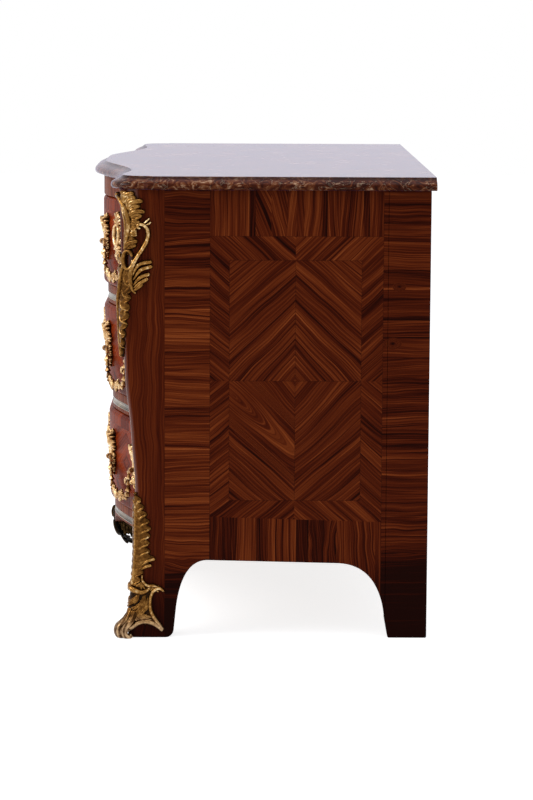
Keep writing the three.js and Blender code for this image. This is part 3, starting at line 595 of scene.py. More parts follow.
def lozenge_grain(at):
    """The two directions of the folded sheets, and the lines across them fanned away from the middle."""
    long = math.hypot(1, lozenge_rise)
    rising = (at.fold_y * lozenge_rise + at.fold_z) / long
    falling = (at.fold_z * lozenge_rise - at.fold_y) / long
    return rising, falling, rising + falling * rising * lozenge_fan


def opened(f, quarter, fanned, falling):
    """The same lines, opened into long arches in one quarter."""
    off, on = fanned - opening_line, (falling + opening_foot) * opening_stretch
    arches = f.math("SQRT", off * off + on * on) + opening_sheet
    return f.pick(quarter * f.ease(f.size(off), *opening_edge, 1, 0), arches, fanned)


def border_sheets(f, at, y, z):
    """Tone, slant, wildness and number of the sheets in the columns and the staves."""
    columns = [f.bands(z, table, *block_reach) for table in (right_blocks, left_blocks)]
    staves = [f.bands(y, table, *stave_reach) for table in (top_staves, low_staves)]
    return [
        f.choose((at.right, right), (at.left, left), (at.above, top), otherwise=low)
        for right, left, top, low in zip(*columns, *staves)
    ]


def knotted(f, y, z):
    """The columns' grain, closed round their knots, and how dark the knots make it."""
    grain, dark = z, 0
    for place, size in end_knots:
        grain, knot = round_knot(f, y, z, grain, place, size)
        dark = knot + dark
    return grain, dark


def end_seams(f, at, y, z):
    sides = [line_at(f, y, edge) for edge in (strip_edge, column_edge, band_right)]
    folds = at.core * (line_at(f, at.fold_y, 0) + line_at(f, at.fold_z, 0))
    return *sides, at.middle * line_at(f, z, band_top), at.inside * line_at(f, at.border, 0), folds


def corner_gloss(f, x, y):
    """The coat of the post where it turns towards the front, next to the end's plane."""
    inside = case_half - f.size(x)
    turned, near_end = f.ease(inside, *gloss_from), f.ease(inside, *gloss_to, 1, 0)
    return veneer_coat + turned * near_end * f.under(y, post_back) * gloss_coat


def end_veneer():
    f = material("end_veneer")
    x, y, z = f.place()
    at = end_fields(f, y, z)
    rising, falling, fanned = lozenge_grain(at)
    fanned = opened(f, at.core * (1 - at.far_half) * (1 - at.upper_half), fanned, falling)
    tone, slant, wild, number = border_sheets(f, at, y, z)
    leaning = y + (z - case_top) * slant * at.staves
    tied, dark = knotted(f, y, z)
    along = f.choose((at.core, falling), (at.frame, rising), (at.column, y), otherwise=z)
    across = f.choose((at.core, fanned), (at.frame, falling), (at.column, tied), otherwise=leaning)
    core_sheet, frame_sheet = [
        at.far_half * far + at.upper_half * upper + end_sheets[name]
        for name, (far, upper) in (("core", core_quarters), ("frame", frame_quarters))
    ]
    strip_sheet = f.pick(at.strip, end_sheets["strip"], number * sheets_apart)
    sheet = f.choose((at.core, core_sheet), (at.frame, frame_sheet), otherwise=strip_sheet)
    shade = f.choose(*[(getattr(at, name), value) for name, value in end_shades.items()], otherwise=tone)
    # painted shade towards the floor, and the dark eyes of the knots
    shade = shade - f.ease(z, *end_foot_shade_fade) * end_foot_painted_shade - dark * knot_shade
    wildness = f.pick(at.column + at.staves, wild, f.pick(at.strip, strip_wildness, middle_wildness))
    depth = f.pick(at.strip, strip_depth, panel_depth)
    colour, figure = rosewood(f, along, across, sheet, shade, wildness, depth)
    colour = with_seams(f, colour, *end_seams(f, at, y, z))
    return veneer_shader(f, colour, figure, coat=corner_gloss(f, x, y))


# Drawer fronts: a quartered panel or two in a cross-banded border, and upright short grain on the rails
crossband = 0.026
drawer_fold = (0.6, 1.166)
drawer_staves = 17
drawer_tone = 0.68
drawer_tint = srgb(255, 200, 176)
rail_staves = 14
rail_tone = 0.56
stave_luck = 0.2
stave_sheets_apart = 2.7
panel_sheet = 61
panel_sheets_apart = 0.03
panel_wildness = 0.15
rail_sheets_apart = 1.9
rail_wildness = 0.2
glow_cells = (8, 8, 11)
glow_reach = 0.55
front_gloss = {"sheen": 0.014, "coat": 0.016}


def drawer_veneer(drawer, cells):
    f = material(drawer + "_veneer")
    x, y, z = f.place()
    low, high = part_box(drawer + "_front")
    wide, half_high = (high.x - low.x) / cells, (high.z - low.z) / 2
    cell = f.math("FLOOR", (x - low.x) / wide)
    fold_x = f.size(x - low.x - (cell + 0.5) * wide)
    fold_z = f.size(z - (low.z + high.z) / 2)
    border = f.most(fold_x - (wide / 2 - crossband), fold_z - (half_high - crossband))
    banded, upright = f.over(border, 0), f.over(fold_z, half_high - crossband)
    rise, long = drawer_fold
    lozenge, against = (fold_x * rise + fold_z) / long, (fold_z * rise - fold_x) / long
    along = f.pick(banded, f.pick(upright, z, x), against)
    across = f.pick(banded, f.pick(upright, x, z), lozenge)
    stave = f.math("FLOOR", f.pick(upright, x, z) * drawer_staves)
    luck = (f.chance(stave, 4) - 0.5) * banded * stave_luck
    sheet = f.pick(banded, stave * stave_sheets_apart, panel_sheet + cell * panel_sheets_apart)
    glow = (f.cells((x, y, z), glow_cells, detail=1) - 0.5) * (1 - banded) * glow_reach
    colour, figure = rosewood(f, along, across, sheet, drawer_tone + luck + glow, panel_wildness)
    colour = with_seams(f, colour, line_at(f, border, 0), (1 - banded) * line_at(f, fold_x, 0))
    return veneer_shader(f, f.blend(1, colour, drawer_tint, "MULTIPLY"), figure, **front_gloss)


def front_veneer():
    f = material("front_veneer")
    x, _, z = f.place()
    stave = f.math("FLOOR", x * rail_staves)
    tone = rail_tone + (f.chance(stave, 2) - 0.5) * stave_luck
    colour, figure = rosewood(f, z, x, stave * rail_sheets_apart, tone, rail_wildness)
    return veneer_shader(f, colour, figure, **front_gloss)


def oak():
    f = material("oak")
    x, y, z = f.place()
    up = f.apart(f.node("NewGeometry", out="Normal"))[2]
    flat = f.over(f.size(up), 0.5)
    along, across = f.pick(flat, x, x + y), f.pick(flat, y, z)
    bent = across + (layer(f, along, across, flat, *oak_drift) - 0.5) * drift_reach
    bands, lines, pores = [layer(f, along, bent, flat, *cells) for cells in (oak_bands, oak_lines, oak_pores)]
    by_bands, by_lines, by_pores = oak_shares
    figure = 0.5 + (bands - 0.5) * by_bands + (lines - 0.5) * by_lines
    figure = figure - f.ease(pores, *oak_pore_edge) * by_pores
    return f.surface(
        base_color=f.ramp(figure, oak_shades),
        roughness=0.62,
        specular_ior_level=0.25,
        normal=f.bump(lines, *oak_bump),
    )


# Marble: a breccia of clouds, swirls and pale veins, each with its cells a metre
marble_layers = [
    ((9, 9, 16), {"detail": 6, "rough": 0.6, "warp": 1.6}),
    ((30, 30, 44), {"detail": 5, "rough": 0.58, "warp": 3.2}),
    ((17, 17, 28), {"detail": 4, "rough": 0.55, "warp": 1.8}),
]
marble_shades = shades(
    (0.30, 20, 5, 2), (0.43, 48, 17, 8), (0.51, 76, 32, 15), (0.58, 110, 64, 36), (0.68, 196, 166, 136),
)
swirl_share = 0.6
vein_width = (0.002, 0.010)
vein_share = 0.4
vein_colour = srgb(186, 160, 132)
# Painted shade: a dark line on the moulding just under the top's arris
arris_shade_colour = srgb(34, 10, 6)
arris_shade_share = 0.7
arris_shade_fade = (0.0040, 0.0075)
top_fade = (0.0002, 0.0012)
marble_coat = 0.02
top_coat = 0.56


def marble():
    f = material("marble")
    x, y, z = f.place()
    cloud, swirl, vein = [f.cells((x, y, z), counts, **shape) for counts, shape in marble_layers]
    colour = f.ramp(cloud * (1 - swirl_share) + swirl * swirl_share, marble_shades)
    colour = f.blend(f.ease(f.size(vein - 0.5), *vein_width, 1, 0) * vein_share, colour, vein_colour)
    fall = slab_high.z - z
    top = f.ease(fall, *top_fade, 1, 0)
    # painted shade along the moulding just under the top's arris
    painted_arris_shade = f.ease(fall, *arris_shade_fade, 1, 0) * (1 - top)
    lobe = f.ease(y, post_front, face_hollow, 1, 0) * 0.5
    return f.surface(
        base_color=f.blend(painted_arris_shade * arris_shade_share, colour, arris_shade_colour),
        roughness=0.24,
        specular_ior_level=0.03,
        coat_weight=marble_coat + f.most(top, lobe) * top_coat,
        coat_roughness=0.07,
        sheen_weight=0.32,
        sheen_roughness=0.26,
        sheen_tint=(0.44, 0.38, 1.0),
    )


# Metals: bronze from its dark hollows to its rubbed crests, patina and rubbing with painted shade in the
# hollows and painted highlight on the crests, and the drawn brass of the flutes
gilt_shades = shades(
    (0.0, 18, 8, 2), (0.25, 54, 31, 10), (0.55, 98, 63, 26), (0.80, 144, 104, 52), (1.0, 226, 196, 146),
)
# Painted light: a brighter copy of the gilt for the drawers' mounts, as lit from the front
lit_front_bronze_stops = shades(
    (0.0, 30, 12, 4), (0.22, 84, 50, 20), (0.45, 148, 106, 62), (0.70, 206, 168, 118), (1.0, 252, 232, 196),
)
# Painted shade: a darker copy of the gilt for the apron mount, which hangs in shade
painted_shade_bronze_stops = shades((0.0, 8, 5, 3), (0.6, 28, 19, 10), (1.0, 88, 66, 36))
brass_shades = shades((0.34, 64, 50, 34), (0.54, 104, 84, 58), (0.72, 168, 146, 108))
bronze_spots = (190, 190, 190)
bronze_stains = (26, 26, 26)
bronze_metal = (0.05, 0.4, 0.55, 1.0)
bronze_roughness = (0.2, 0.9, 0.50, 0.24)
bronze_bump = (0.25, 0.0006)
brass_lines = (8, 8, 900)
brass_stains = (25, 25, 60)
brass_roughness = (0.3, 0.7, 0.20, 0.34)
# Wear and painted light: shares of the relief, the spots and the stains
bronze_wear_and_light = (0.84, 0.9, 0.7)
bronze_wear_and_light_from = -0.04
# Paler metal low on the feet where the relief is high: worn gilding with painted highlight
worn_and_highlit_foot = (0.050, 0.012)
worn_and_highlit_metal = (0.2, 0.8)
worn_and_highlit_foot_share = 0.5
worn_and_highlit_foot_colour = srgb(184, 160, 132)


def bronze(name, stops):
    f = material(name)
    place = f.place()
    spots, broad = f.cells(place, bronze_spots, detail=4, rough=0.6), f.cells(place, bronze_stains)
    relief = f.node("Attribute", {"attribute_name": "relief"}, out="Fac")
    by_relief, by_spots, by_stains = bronze_wear_and_light
    wear_and_light = relief * by_relief + (spots - 0.5) * by_spots + (broad - 0.5) * by_stains + bronze_wear_and_light_from
    # paler metal low on the feet: worn gilding with painted highlight
    foot = f.ease(place[2], *worn_and_highlit_foot) * f.ease(wear_and_light, *worn_and_highlit_metal)
    return f.surface(
        base_color=f.blend(foot * worn_and_highlit_foot_share, f.ramp(wear_and_light, stops), worn_and_highlit_foot_colour),
        metallic=f.ease(wear_and_light, *bronze_metal),
        roughness=f.ease(wear_and_light, *bronze_roughness),
        specular_ior_level=0.1,
        normal=f.bump(spots, *bronze_bump),
    )


def flute_brass():
    f = material("flute_brass")
    place = f.place()
    drawn, stains = f.cells(place, brass_lines), f.cells(place, brass_stains, detail=4)
    roughness = f.ease(drawn, *brass_roughness)
    return f.surface(base_color=f.ramp(stains, brass_shades), metallic=1.0, roughness=roughness)


def keyhole_dark():
    return material("shadow").surface(base_color=srgb(12, 8, 5), roughness=0.9, specular_ior_level=0.1)


end_veneer_finish = end_veneer()
front_veneer_finish = front_veneer()
oak_finish = oak()
marble_finish = marble()
gilt_finish = bronze("gilt_bronze", gilt_shades)
# Painted light and painted shade: a brighter copy of the gilt for the drawers' mounts and a darker one for
# the apron mount
lit_front_bronze_finish = bronze("handled_bronze", lit_front_bronze_stops)
painted_shade_bronze_finish = bronze("shaded_bronze", painted_shade_bronze_stops)
brass_finish = flute_brass()
shadow_finish = keyhole_dark()


# The front's curve
def face_at(x):
    return face_peak + wave_depth * smooth((np.abs(x) - wave_flat) / wave_run)


def lean(z):
    return lean_depth * smooth((lean_top - z) / (lean_top - lean_bottom))


def wave_bar(node, suffix, section, finish, body, slot, count=121):
    """A bar along the front. Its section is points of (set back, height), or is worked out at x."""
    low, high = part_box(node)
    rings = []
    for x in np.linspace(low.x, high.x, count):
        ring = section(x) if callable(section) else section
        rings.append([(x, face_at(x) + back, z) for back, z in ring])
    loft(node + suffix, rings, finish, body, slot, node)


# Marble slab: the same outline as the solid, drawn finer, with a rounded and hollowed edge
slab_flat = 0.070
slab_hollow = 0.440
lobe_across = 0.065
lobe_forward = 0.062
step_across = 0.010
step_forward = 0.009
lobe_overhang = 0.017
hollow_overhang = 0.026
moulding_inset = 0.022
moulding_shares = [
    (0.24, 0), (0.12, 0.03), (0.03, 0.10), (0, 0.20), (0, 0.30), (0.03, 0.40), (0.10, 0.50), (0.22, 0.58),
    (0.34, 0.64), (0.46, 0.69), (0.62, 0.75), (0.78, 0.82), (0.90, 0.90), (0.96, 0.96), (1, 1),
]


def eased(start, stop, count):
    """Points of a smooth step between two points of an outline, without the first."""
    x = np.linspace(start[0], stop[0], count)[1:]
    share = smooth((x - stop[0]) / (start[0] - stop[0]))
    return list(zip(x, stop[1] + (start[1] - stop[1]) * share))


def slab_outline():
    hollow, lobe = face_hollow - hollow_overhang, post_front - lobe_overhang
    lobe_x = slab_high.x - step_across - lobe_across
    lobe_y = lobe + lobe_forward
    side, back = slab_high.x, slab_high.y
    corner = [(side, back), (side, lobe_y + step_forward), (side - step_across, lobe_y)]
    turns = np.linspace(0, math.pi / 2, 16)[1:]
    round_lobe = [(lobe_x + lobe_across * math.cos(a), lobe_y - lobe_forward * math.sin(a)) for a in turns]
    swell = eased((lobe_x, lobe), (slab_hollow, hollow), 10)
    bow = eased((slab_hollow, hollow), (slab_flat, slab_low.y), 26)
    half = corner + round_lobe + swell + bow
    return np.array(half + [(-x, y) for x, y in reversed(half)])


def square_to(steps):
    return np.stack([steps[:, 1], -steps[:, 0]], 1) / np.linalg.norm(steps, axis=1)[:, None]


def inset(outline, by):
    """A closed outline moved inwards, square to its sides."""
    before = square_to(outline - np.roll(outline, 1, 0))
    after = square_to(np.roll(outline, -1, 0) - outline)
    return outline + (before + after) * (by / (1 + (before * after).sum(1)))[:, None]


def marble_slab():
    outline = slab_outline()
    at_back = outline[:, 1] == slab_high.y
    rings = []
    for share, rise in moulding_shares:
        x, y = inset(outline, moulding_inset * share).T
        level = slab_low.z + (slab_high.z - slab_low.z) * rise
        rings.append(np.stack([x, np.where(at_back, slab_high.y, y), np.full_like(x, level)], 1))
    loft("marble_slab", rings, marble_finish, "carcass", "marble", "marble_top", creased=30)


# Front posts: a sharp corner that opens into a round near the top
post_levels = 70


def leg_tip(z):
    return post_front + leg_bow * spline(leg_bow_shares, z / case_top)


def corner_radius(z):
    share = smooth((z - corner_round_from) / (case_top - corner_round_from))
    return corner_round_low + (corner_round_top - corner_round_low) * share


def post_line(z, arc=12, sweep=14):
    """The post's outer line in plan at a height: from the panel, round the corner, to the drawers."""
    radius, tip = corner_radius(z), leg_tip(z)
    inner = post_inner + foot_taper * (1 - min(1.0, z / bracket_height) ** 3)
    lifted = math.sqrt(1 - (1 - min(1.0, z / heel_round)) ** 2)
    back = post_back - heel_in * (1 - min(1.0, z / heel_height)) - heel_round * (1 - lifted)
    shoulder = face_hollow + lean(z) + rail_recess
    turns = np.linspace(0, math.pi / 2, arc + 1)
    corner = [(case_half - radius + radius * math.cos(a), tip + radius - radius * math.sin(a)) for a in turns]
    start = case_half - radius
    shares = np.linspace(0, 1, sweep + 1)[1:]
    front = [(start + (inner - start) * t, tip + (shoulder - tip) * smooth(t)) for t in shares]
    return [(inner, back), (case_half, back)] + corner + front


def end_piece(node, side, rings):
    loft(node + "_veneered", mirrored(rings, side), end_veneer_finish, "carcass", "end_veneer", node)


def front_post(side):
    heel = heel_round * (1 - np.cos(np.linspace(0, math.pi / 2, 8)))
    levels = np.concatenate([heel, np.linspace(heel_round, case_top, post_levels)[1:]])
    end_piece(side + "_front_post", side, [[(x, y, z) for x, y in post_line(z)] for z in levels])


# End panels with the arch between the feet
arch_rise = 0.148
arch_fall = 0.005
arch_front_run = 0.060
arch_back_run = 0.093
arch_pull = 0.010
arch_points = 24
rear_heel_height = 0.033


def end_panel(side):
    high, low = arch_rise, arch_rise - arch_fall
    front, back = post_back, panel_back
    front_turn = (front, heel_height), (front + arch_pull, high), (front + arch_front_run, high)
    back_turn = (back - arch_back_run, low), (back - arch_pull, low), (back, rear_heel_height)
    arch = [quadratic(*turn, arch_points) for turn in (front_turn, back_turn)]
    outline = np.concatenate([[(front, case_top)], *arch, [(back, case_top)]])
    rings = [[(x, y, z) for y, z in outline] for x in (panel_low.x, panel_high.x)]
    end_piece(side + "_side_panel", side, rings)


# Rails with a groove for the brass, and the shaped apron
rail_depth = 0.050
rail_height = 0.038
rail_round = 0.003
rail_low_round = 0.0015
groove_round = 0.0008
flute_drop = 0.017
flute_height = 0.013
flute_depth = 0.006
flute_hollow = 0.0034
flute_lip = 0.0018
flute_clear = 0.0003
apron_height = 0.034
apron_drop = 0.026
apron_drop_flat = 0.070
apron_drop_run = 0.090
bracket_run = 0.115
up, inwards, outwards = (0, 1), (1, 0), (-1, 0)


def rounded(corner, before, after, radius, count):
    """Points of a small round at a corner, from against one direction to along another."""
    c, a, b = np.array(corner), np.array(before), np.array(after)
    return [tuple(q) for q in quadratic(c - a * radius, c, c + b * radius, count)]


def fluted_section(top, low, face):
    groove_top, groove_low = top - flute_drop, top - flute_drop - flute_height
    return [
        (face + rail_depth, low),
        *rounded((face, low), outwards, up, rail_low_round, 4),
        *rounded((face, groove_low), up, inwards, groove_round, 3),
        (face + flute_depth, groove_low),
        (face + flute_depth, groove_top),
        *rounded((face, groove_top), outwards, up, groove_round, 3),
        *rounded((face, top), up, inwards, rail_round, 6),
        (face + rail_depth, top),
    ]


def apron_edge(x):
    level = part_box("apron_rail")[1].z - apron_height
    middle = 1 - smooth((abs(x) - apron_drop_flat) / apron_drop_run)
    end = max(0.0, (abs(x) - (post_inner - bracket_run)) / bracket_run)
    return level - apron_drop * middle - (level - bracket_height) * end * end


def rail(node, bow, edge=None):
    low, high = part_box(node)

    def section(x):
        return fluted_section(high.z, edge(x) if edge else low.z, rail_recess + bow)

    wave_bar(node, "_veneered", section, front_veneer_finish, "carcass", "front_veneer")


def brass_flute(node, bow):
    low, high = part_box(node)
    face, deep = rail_recess + bow, rail_recess + bow + flute_depth - flute_clear
    inner = high.z - low.z - 2 * flute_lip
    groove = [
        (face + flute_hollow * math.sin(a), low.z + flute_lip + inner * (1 - math.cos(a)) / 2)
        for a in np.linspace(0, math.pi, 9)
    ]
    ring = [(deep, low.z), (face, low.z), *groove, (face, high.z), (deep, high.z)]
    wave_bar(node, "_polished", ring, brass_finish, "carcass", "flute_brass")


def top_rail():
    low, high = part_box("top_rail")
    face, back = frieze_recess, rail_recess + rail_depth
    lower_edge = rounded((face, low.z), outwards, up, rail_round, 6)
    ring = [(back, low.z), *lower_edge, (face, high.z), (back, high.z)]
    wave_bar("top_rail", "_veneered", ring, front_veneer_finish, "carcass", "front_veneer")


def rails():
    top_rail()
    for name in ("upper", "lower"):
        bow = lean(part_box(name + "_rail")[1].z - rail_height / 2)
        rail(name + "_rail", bow)
        brass_flute(name + "_brass_flute", bow)
    bow = lean(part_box("apron_rail")[1].z)
    rail("apron_rail", bow, apron_edge)
    brass_flute("apron_brass_flute", bow)


# Drawer fronts
front_thickness = 0.024
edge_round = 0.009


def drawer_front(drawer, cells):
    node = drawer + "_front"
    low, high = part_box(node)
    back = front_thickness + lean((low.z + high.z) / 2)
    turns = np.linspace(0, math.pi / 2, 8)
    rounds = [(edge_round * (1 - math.sin(a)), edge_round * (1 - math.cos(a))) for a in turns]
    ring = [
        (back, low.z),
        *[(out + lean(low.z), low.z + rise) for out, rise in rounds],
        *[(out + lean(high.z), high.z - rise) for out, rise in reversed(rounds)],
        (back, high.z),
    ]
    count = 121 if cells == 2 else 61
    finish = drawer_veneer(drawer, cells)
    wave_bar(node, "_veneered", ring, finish, drawer, "front_veneer", count)


# Castings: leaf and scroll laid on a curved ground, in millimetres across it, up it and out from it
seat = 0.3
ribbon_sides = 11
ribbon_tip = 0.04
ribbon_foot = 0.2
ribbon_fullness = 0.8
ribbon_thinnest = 0.3
ribbon_dullest = 0.05
ribbon_channel_width = 0.32
boss_profile = [(1, 0), (1, 0.35), (0.85, 0.75), (0.5, 0.97), (0.12, 1)]
finger_spread = (0.15, 0.55, 0.8)
finger_halves = (0.7, 1.2, 1.3, 1.1)
finger_uneven = 0.12
finger_phase = (2.3, 0.31)
finger_shorter = 0.20
finger_lower = 0.22
finger_channel = 0.1
finger_rows = 15
blade_points = 23
blade_notch = 0.7
# A blade's height: its ground, its lobes, its midrib and its veins, and how it falls at the edge
blade_body = (0.42, 0.32, 0.25, 0.12)
blade_edge = (0.70, 12)
blade_relief = (0.95, 0.04)
bead_dullest = 0.2
spiral_steps = 14
spiral_close = 0.78


def wave(turn):
    """1 at the start of a turn, 0 half way round and 1 at its end."""
    return 0.5 + 0.5 * np.cos(turn)


class Casting:
    """One cast mount. Its relief, 0 in the hollows and 1 on the crests, colours the metal: patina with
    painted shade in the hollows, rubbing with painted highlight on the crests.
    """

    def __init__(self, ground):
        self.ground = ground
        self.points, self.faces, self.relief = [], [], []

    def lay(self, a, b, out):
        return self.ground(a * mm, b * mm, out * mm)

    def gather(self, rings, relief, capped=True):
        """Adds a skin over rings given in metres. One without caps ends where it starts."""
        points, faces = skin(rings)
        faces = facing_out(points, faces if capped else faces[:-2])
        start = len(self.relief)
        self.points.append(points)
        self.faces += [tuple(i + start for i in f) for f in faces]
        self.relief += list(np.broadcast_to(relief, np.shape(rings)[:2]).reshape(-1))

    def strip(self, a, b, out, relief):
        """Adds rows of points on the ground, each closed underneath."""
        a, b = [np.concatenate([each, each[:, -1:], each[:, :1]], 1) for each in (a, b)]
        under = np.zeros((len(a), 2))
        out = np.concatenate([out, under + seat], 1)
        self.gather(self.lay(a, b, out), np.concatenate([relief, under], 1))

    def ribbon(self, points, halves, rise, count, channel=0.0):
        """A rolled ribbon with rounded ends, which may be channelled along its top."""
        path = path_through(points, count)
        ahead = headings(path)
        t = np.linspace(0, 1, count)[:, None]
        turns = np.linspace(math.pi, 0, ribbon_sides)
        half = spline(list(zip(np.linspace(0, 1, len(halves)), halves)), t)
        to_end = np.clip(np.minimum(t, 1 - t) * run_along(path)[-1] / half, 0, 1)
        half = half * np.sqrt(np.clip(1 - (1 - to_end) ** 2, ribbon_tip, 1))
        across = -np.cos(turns) * half
        hollow = channel * np.exp(-((np.cos(turns) / ribbon_channel_width) ** 2))
        body = ribbon_foot + (1 - ribbon_foot) * np.sin(turns) ** ribbon_fullness - hollow
        out = seat + rise * body * (ribbon_thinnest + (1 - ribbon_thinnest) * half / max(halves))
        relief = np.clip(ribbon_dullest + body * (1 - ribbon_dullest) - hollow, 0, 1) * np.ones_like(t)
        self.strip(path[:, :1] - ahead[:, 1:] * across, path[:, 1:] + ahead[:, :1] * across, out, relief)

    def ribbons(self, table):
        for halves, rise, count, paths in table:
            for points in paths:
                self.ribbon(points, halves, rise, count)

    def frond(self, root, tip, wide, bend, rise, swell=1.0, fingers=3):
        """A lobe of fluted fingers: they leave one root, bend and spread to a scalloped edge."""
        root, tip = np.array(root, float), np.array(tip, float)
        along = tip - root
        side = np.array([-along[1], along[0]])
        half = swell * wide / fingers
        by_finger, by_place = finger_phase
        for k in range(fingers):
            off = 2 * k / (fingers - 1) - 1
            spread = side / np.linalg.norm(along) * off * wide
            uneven = finger_uneven * math.sin(by_finger * k + by_place * (root[0] + tip[1]))
            near, midway, far = [spread * share for share in finger_spread]
            end = root + along * (1 - finger_shorter * off * off + uneven) + far
            path = [root + near, root + along * 0.5 + midway + side * bend, end]
            halves = [half * share for share in finger_halves]
            self.ribbon(path, halves, rise * (1 - finger_lower * abs(off)), finger_rows, finger_channel)

    def fronds(self, table, paired=False):
        for rise, swell, fingers, shapes in table:
            for shape in both_hands(shapes) if paired else shapes:
                self.frond(*shape, rise, swell, fingers)

    def scrolls(self, table):
        """Pairs of ribbons, one to each hand, with a spiral wound onto each."""
        for halves, rise, count, turns, radius, wound, points in table:
            for hand in (1, -1):
                self.ribbon(volute(to_hand(points, hand), turns, radius, wound * hand), halves, rise, count)

    def blade(self, edges, rise, pitch, climb, scallop, rows):
        """A leaf's body: edges are (height, near edge, far edge), and its veins climb to scalloped lobes."""
        height, near, far = np.array(edges, float).T
        z = np.linspace(height[0], height[-1], rows)[:, None]
        v = np.linspace(0, 1, blade_points)
        phase = (z - climb * v) / pitch
        lobe = np.abs(np.cos(math.pi * phase))
        vein = wave(4 * math.pi * phase)
        notch = 1 - lobe[:, -1:] ** blade_notch
        first = spline(list(zip(height, near)), z)
        last = spline(list(zip(height, far)), z) - scallop * notch
        ground, lobes, midrib, veins = blade_body
        fall, sharpness = blade_edge
        body = ground + lobes * lobe * v + midrib * (1 - v) + veins * vein
        body = body * (1 - fall * v ** sharpness)
        relief = np.clip(body * blade_relief[0] + blade_relief[1], 0, 1)
        self.strip(first * (1 - v) + last * v, z * np.ones_like(body), seat + rise * body, relief)

    def blades(self, table):
        for *shape, edges in table:
            self.blade(edges, *shape)

    def bead(self, a, b, radius, rise):
        """A round boss."""
        share, high = np.array(boss_profile).T[:, :, None]
        turns = around(12)
        x, z = a + radius * share * np.cos(turns), b + radius * share * np.sin(turns)
        self.gather(self.lay(x, z, seat + rise * high + 0 * x), bead_dullest + (1 - bead_dullest) * high)

    def piece(self, node, body, finish=gilt_finish, side="right"):
        """The finished mount, which stands for its node."""
        points = mirrored(np.concatenate(self.points), side)
        faces = self.faces if side == "right" else [f[::-1] for f in self.faces]
        piece = made(node + "_cast", points, faces, finish, body, "gilt_bronze", node, creased=60)
        relief = piece.data.attributes.new("relief", "FLOAT", "POINT")
        relief.data.foreach_set("value", np.array(self.relief, np.float32))


def volute(points, turns, radius, hand):
    """A path with a spiral wound onto its end: hand is 1 to the left and -1 to the right."""
    (x0, z0), (x1, z1) = points[-2], points[-1]
    heading = math.atan2(z1 - z0, x1 - x0)
    centre = (x1 - hand * math.sin(heading) * radius, z1 + hand * math.cos(heading) * radius)
    wound = []
    for k in range(1, int(spiral_steps * turns) + 1):
        share = k / (spiral_steps * turns)
        angle = heading + hand * (share * turns * 2 - 0.5) * math.pi
        reach = radius * (1 - spiral_close * share)
        wound.append((centre[0] + reach * math.cos(angle), centre[1] + reach * math.sin(angle)))
    return list(points) + wound


def to_hand(points, hand):
    """A path as drawn for the right hand, 1, or turned over for the left, -1."""
    return [(hand * a, b) for a, b in points]


def both_hands(shapes):
    """Each (root, tip, width, bend) and its mirror image."""
    for root, tip, wide, bend in shapes:
        for hand in (1, -1):
            yield (*to_hand((root, tip), hand), wide, hand * bend)


# The ground under the corner mounts: round is measured from the corner's middle towards the end panel
corner_step = 0.004
corner_levels = np.arange(0, case_top + corner_step, corner_step)
corner_arc = 12
corner_reach = 0.120
corner_rounds = np.linspace(-corner_reach, corner_reach, 481)
probe = 0.0015


def corner_table():
    table = []
    for z in corner_levels:
        line = np.array(post_line(min(z, case_top), arc=corner_arc)[1:])
        run = run_along(line)
        gone = run - run[1 + corner_arc // 2]
        table.append(np.stack([np.interp(-corner_rounds, gone, column) for column in line.T], -1))
    return np.array(table)


corner_places = corner_table()


def corner_ground(round_at, z):
    """x and y of the ground, read from the table between its nearest four places."""
    round_at, z = np.broadcast_arrays(round_at, z)
    last_level, last_round = len(corner_levels) - 1.001, len(corner_rounds) - 1.001
    spacing = 2 * corner_reach / (len(corner_rounds) - 1)
    i = np.clip(z / corner_step, 0, last_level)
    j = np.clip((round_at + corner_reach) / spacing, 0, last_round)
    i0, j0 = i.astype(int), j.astype(int)
    u, v = (i - i0)[..., None], (j - j0)[..., None]
    below = corner_places[i0, j0] * (1 - v) + corner_places[i0, j0 + 1] * v
    above = corner_places[i0 + 1, j0] * (1 - v) + corner_places[i0 + 1, j0 + 1] * v
    return below * (1 - u) + above * u


def on_corner(round_at, z, out):
    """Points out from the post's corner, square to it."""
    along = corner_ground(round_at + probe, z) - corner_ground(round_at - probe, z)
    square = np.stack([-along[..., 1], along[..., 0]], -1)
    square /= np.linalg.norm(square, axis=-1)[..., None] + 1e-12
    square *= np.sign((square * np.array([1, -1])).sum(-1))[..., None]
    spot = corner_ground(round_at, z) + square * out[..., None]
    return np.concatenate([spot, np.broadcast_to(z, out.shape)[..., None]], -1)


# Corner chute: scrolls and leaves down the rounded corner
# Leaf bodies: rise, pitch of the lobes, climb of the veins, scallop, rows, and (height, near edge, far edge)
chute_blades = [
    (8.5, 17, 46, 5, 170, [
        (532, -7, -3), (545, -10, 0), (560, -12, 3), (580, -12.5, 6), (600, -12.5, 10), (615, -12, 13),
        (632, -10, 13), (648, -7, 16), (664, -4, 19), (680, -1, 18), (700, 1, 12),
    ]),
    (8.5, 19, 15, 8, 110, [
        (756, 10, 20), (768, 14, 28), (782, 16, 33), (796, 14, 35), (808, 8, 33), (820, 0, 29), (832, -6, 20),
        (838, -8, 8),
    ]),
    (8.2, 13, 9, 4, 50, [(722, 2, 12), (734, 2, 22), (746, 4, 25), (757, 8, 20)]),
]
cartouche_turns = np.linspace(0.3, 2 * math.pi + 0.1, 20)
cartouche = [(9.8 + 7.8 * math.cos(a), 712 + 17 * math.sin(a)) for a in cartouche_turns]
c_scroll = [
    (24, 650), (18, 655), (14.5, 668), (14, 684), (18, 703), (26, 719), (35, 733), (43, 749), (45, 763),
    (41, 773), (32, 778),
]
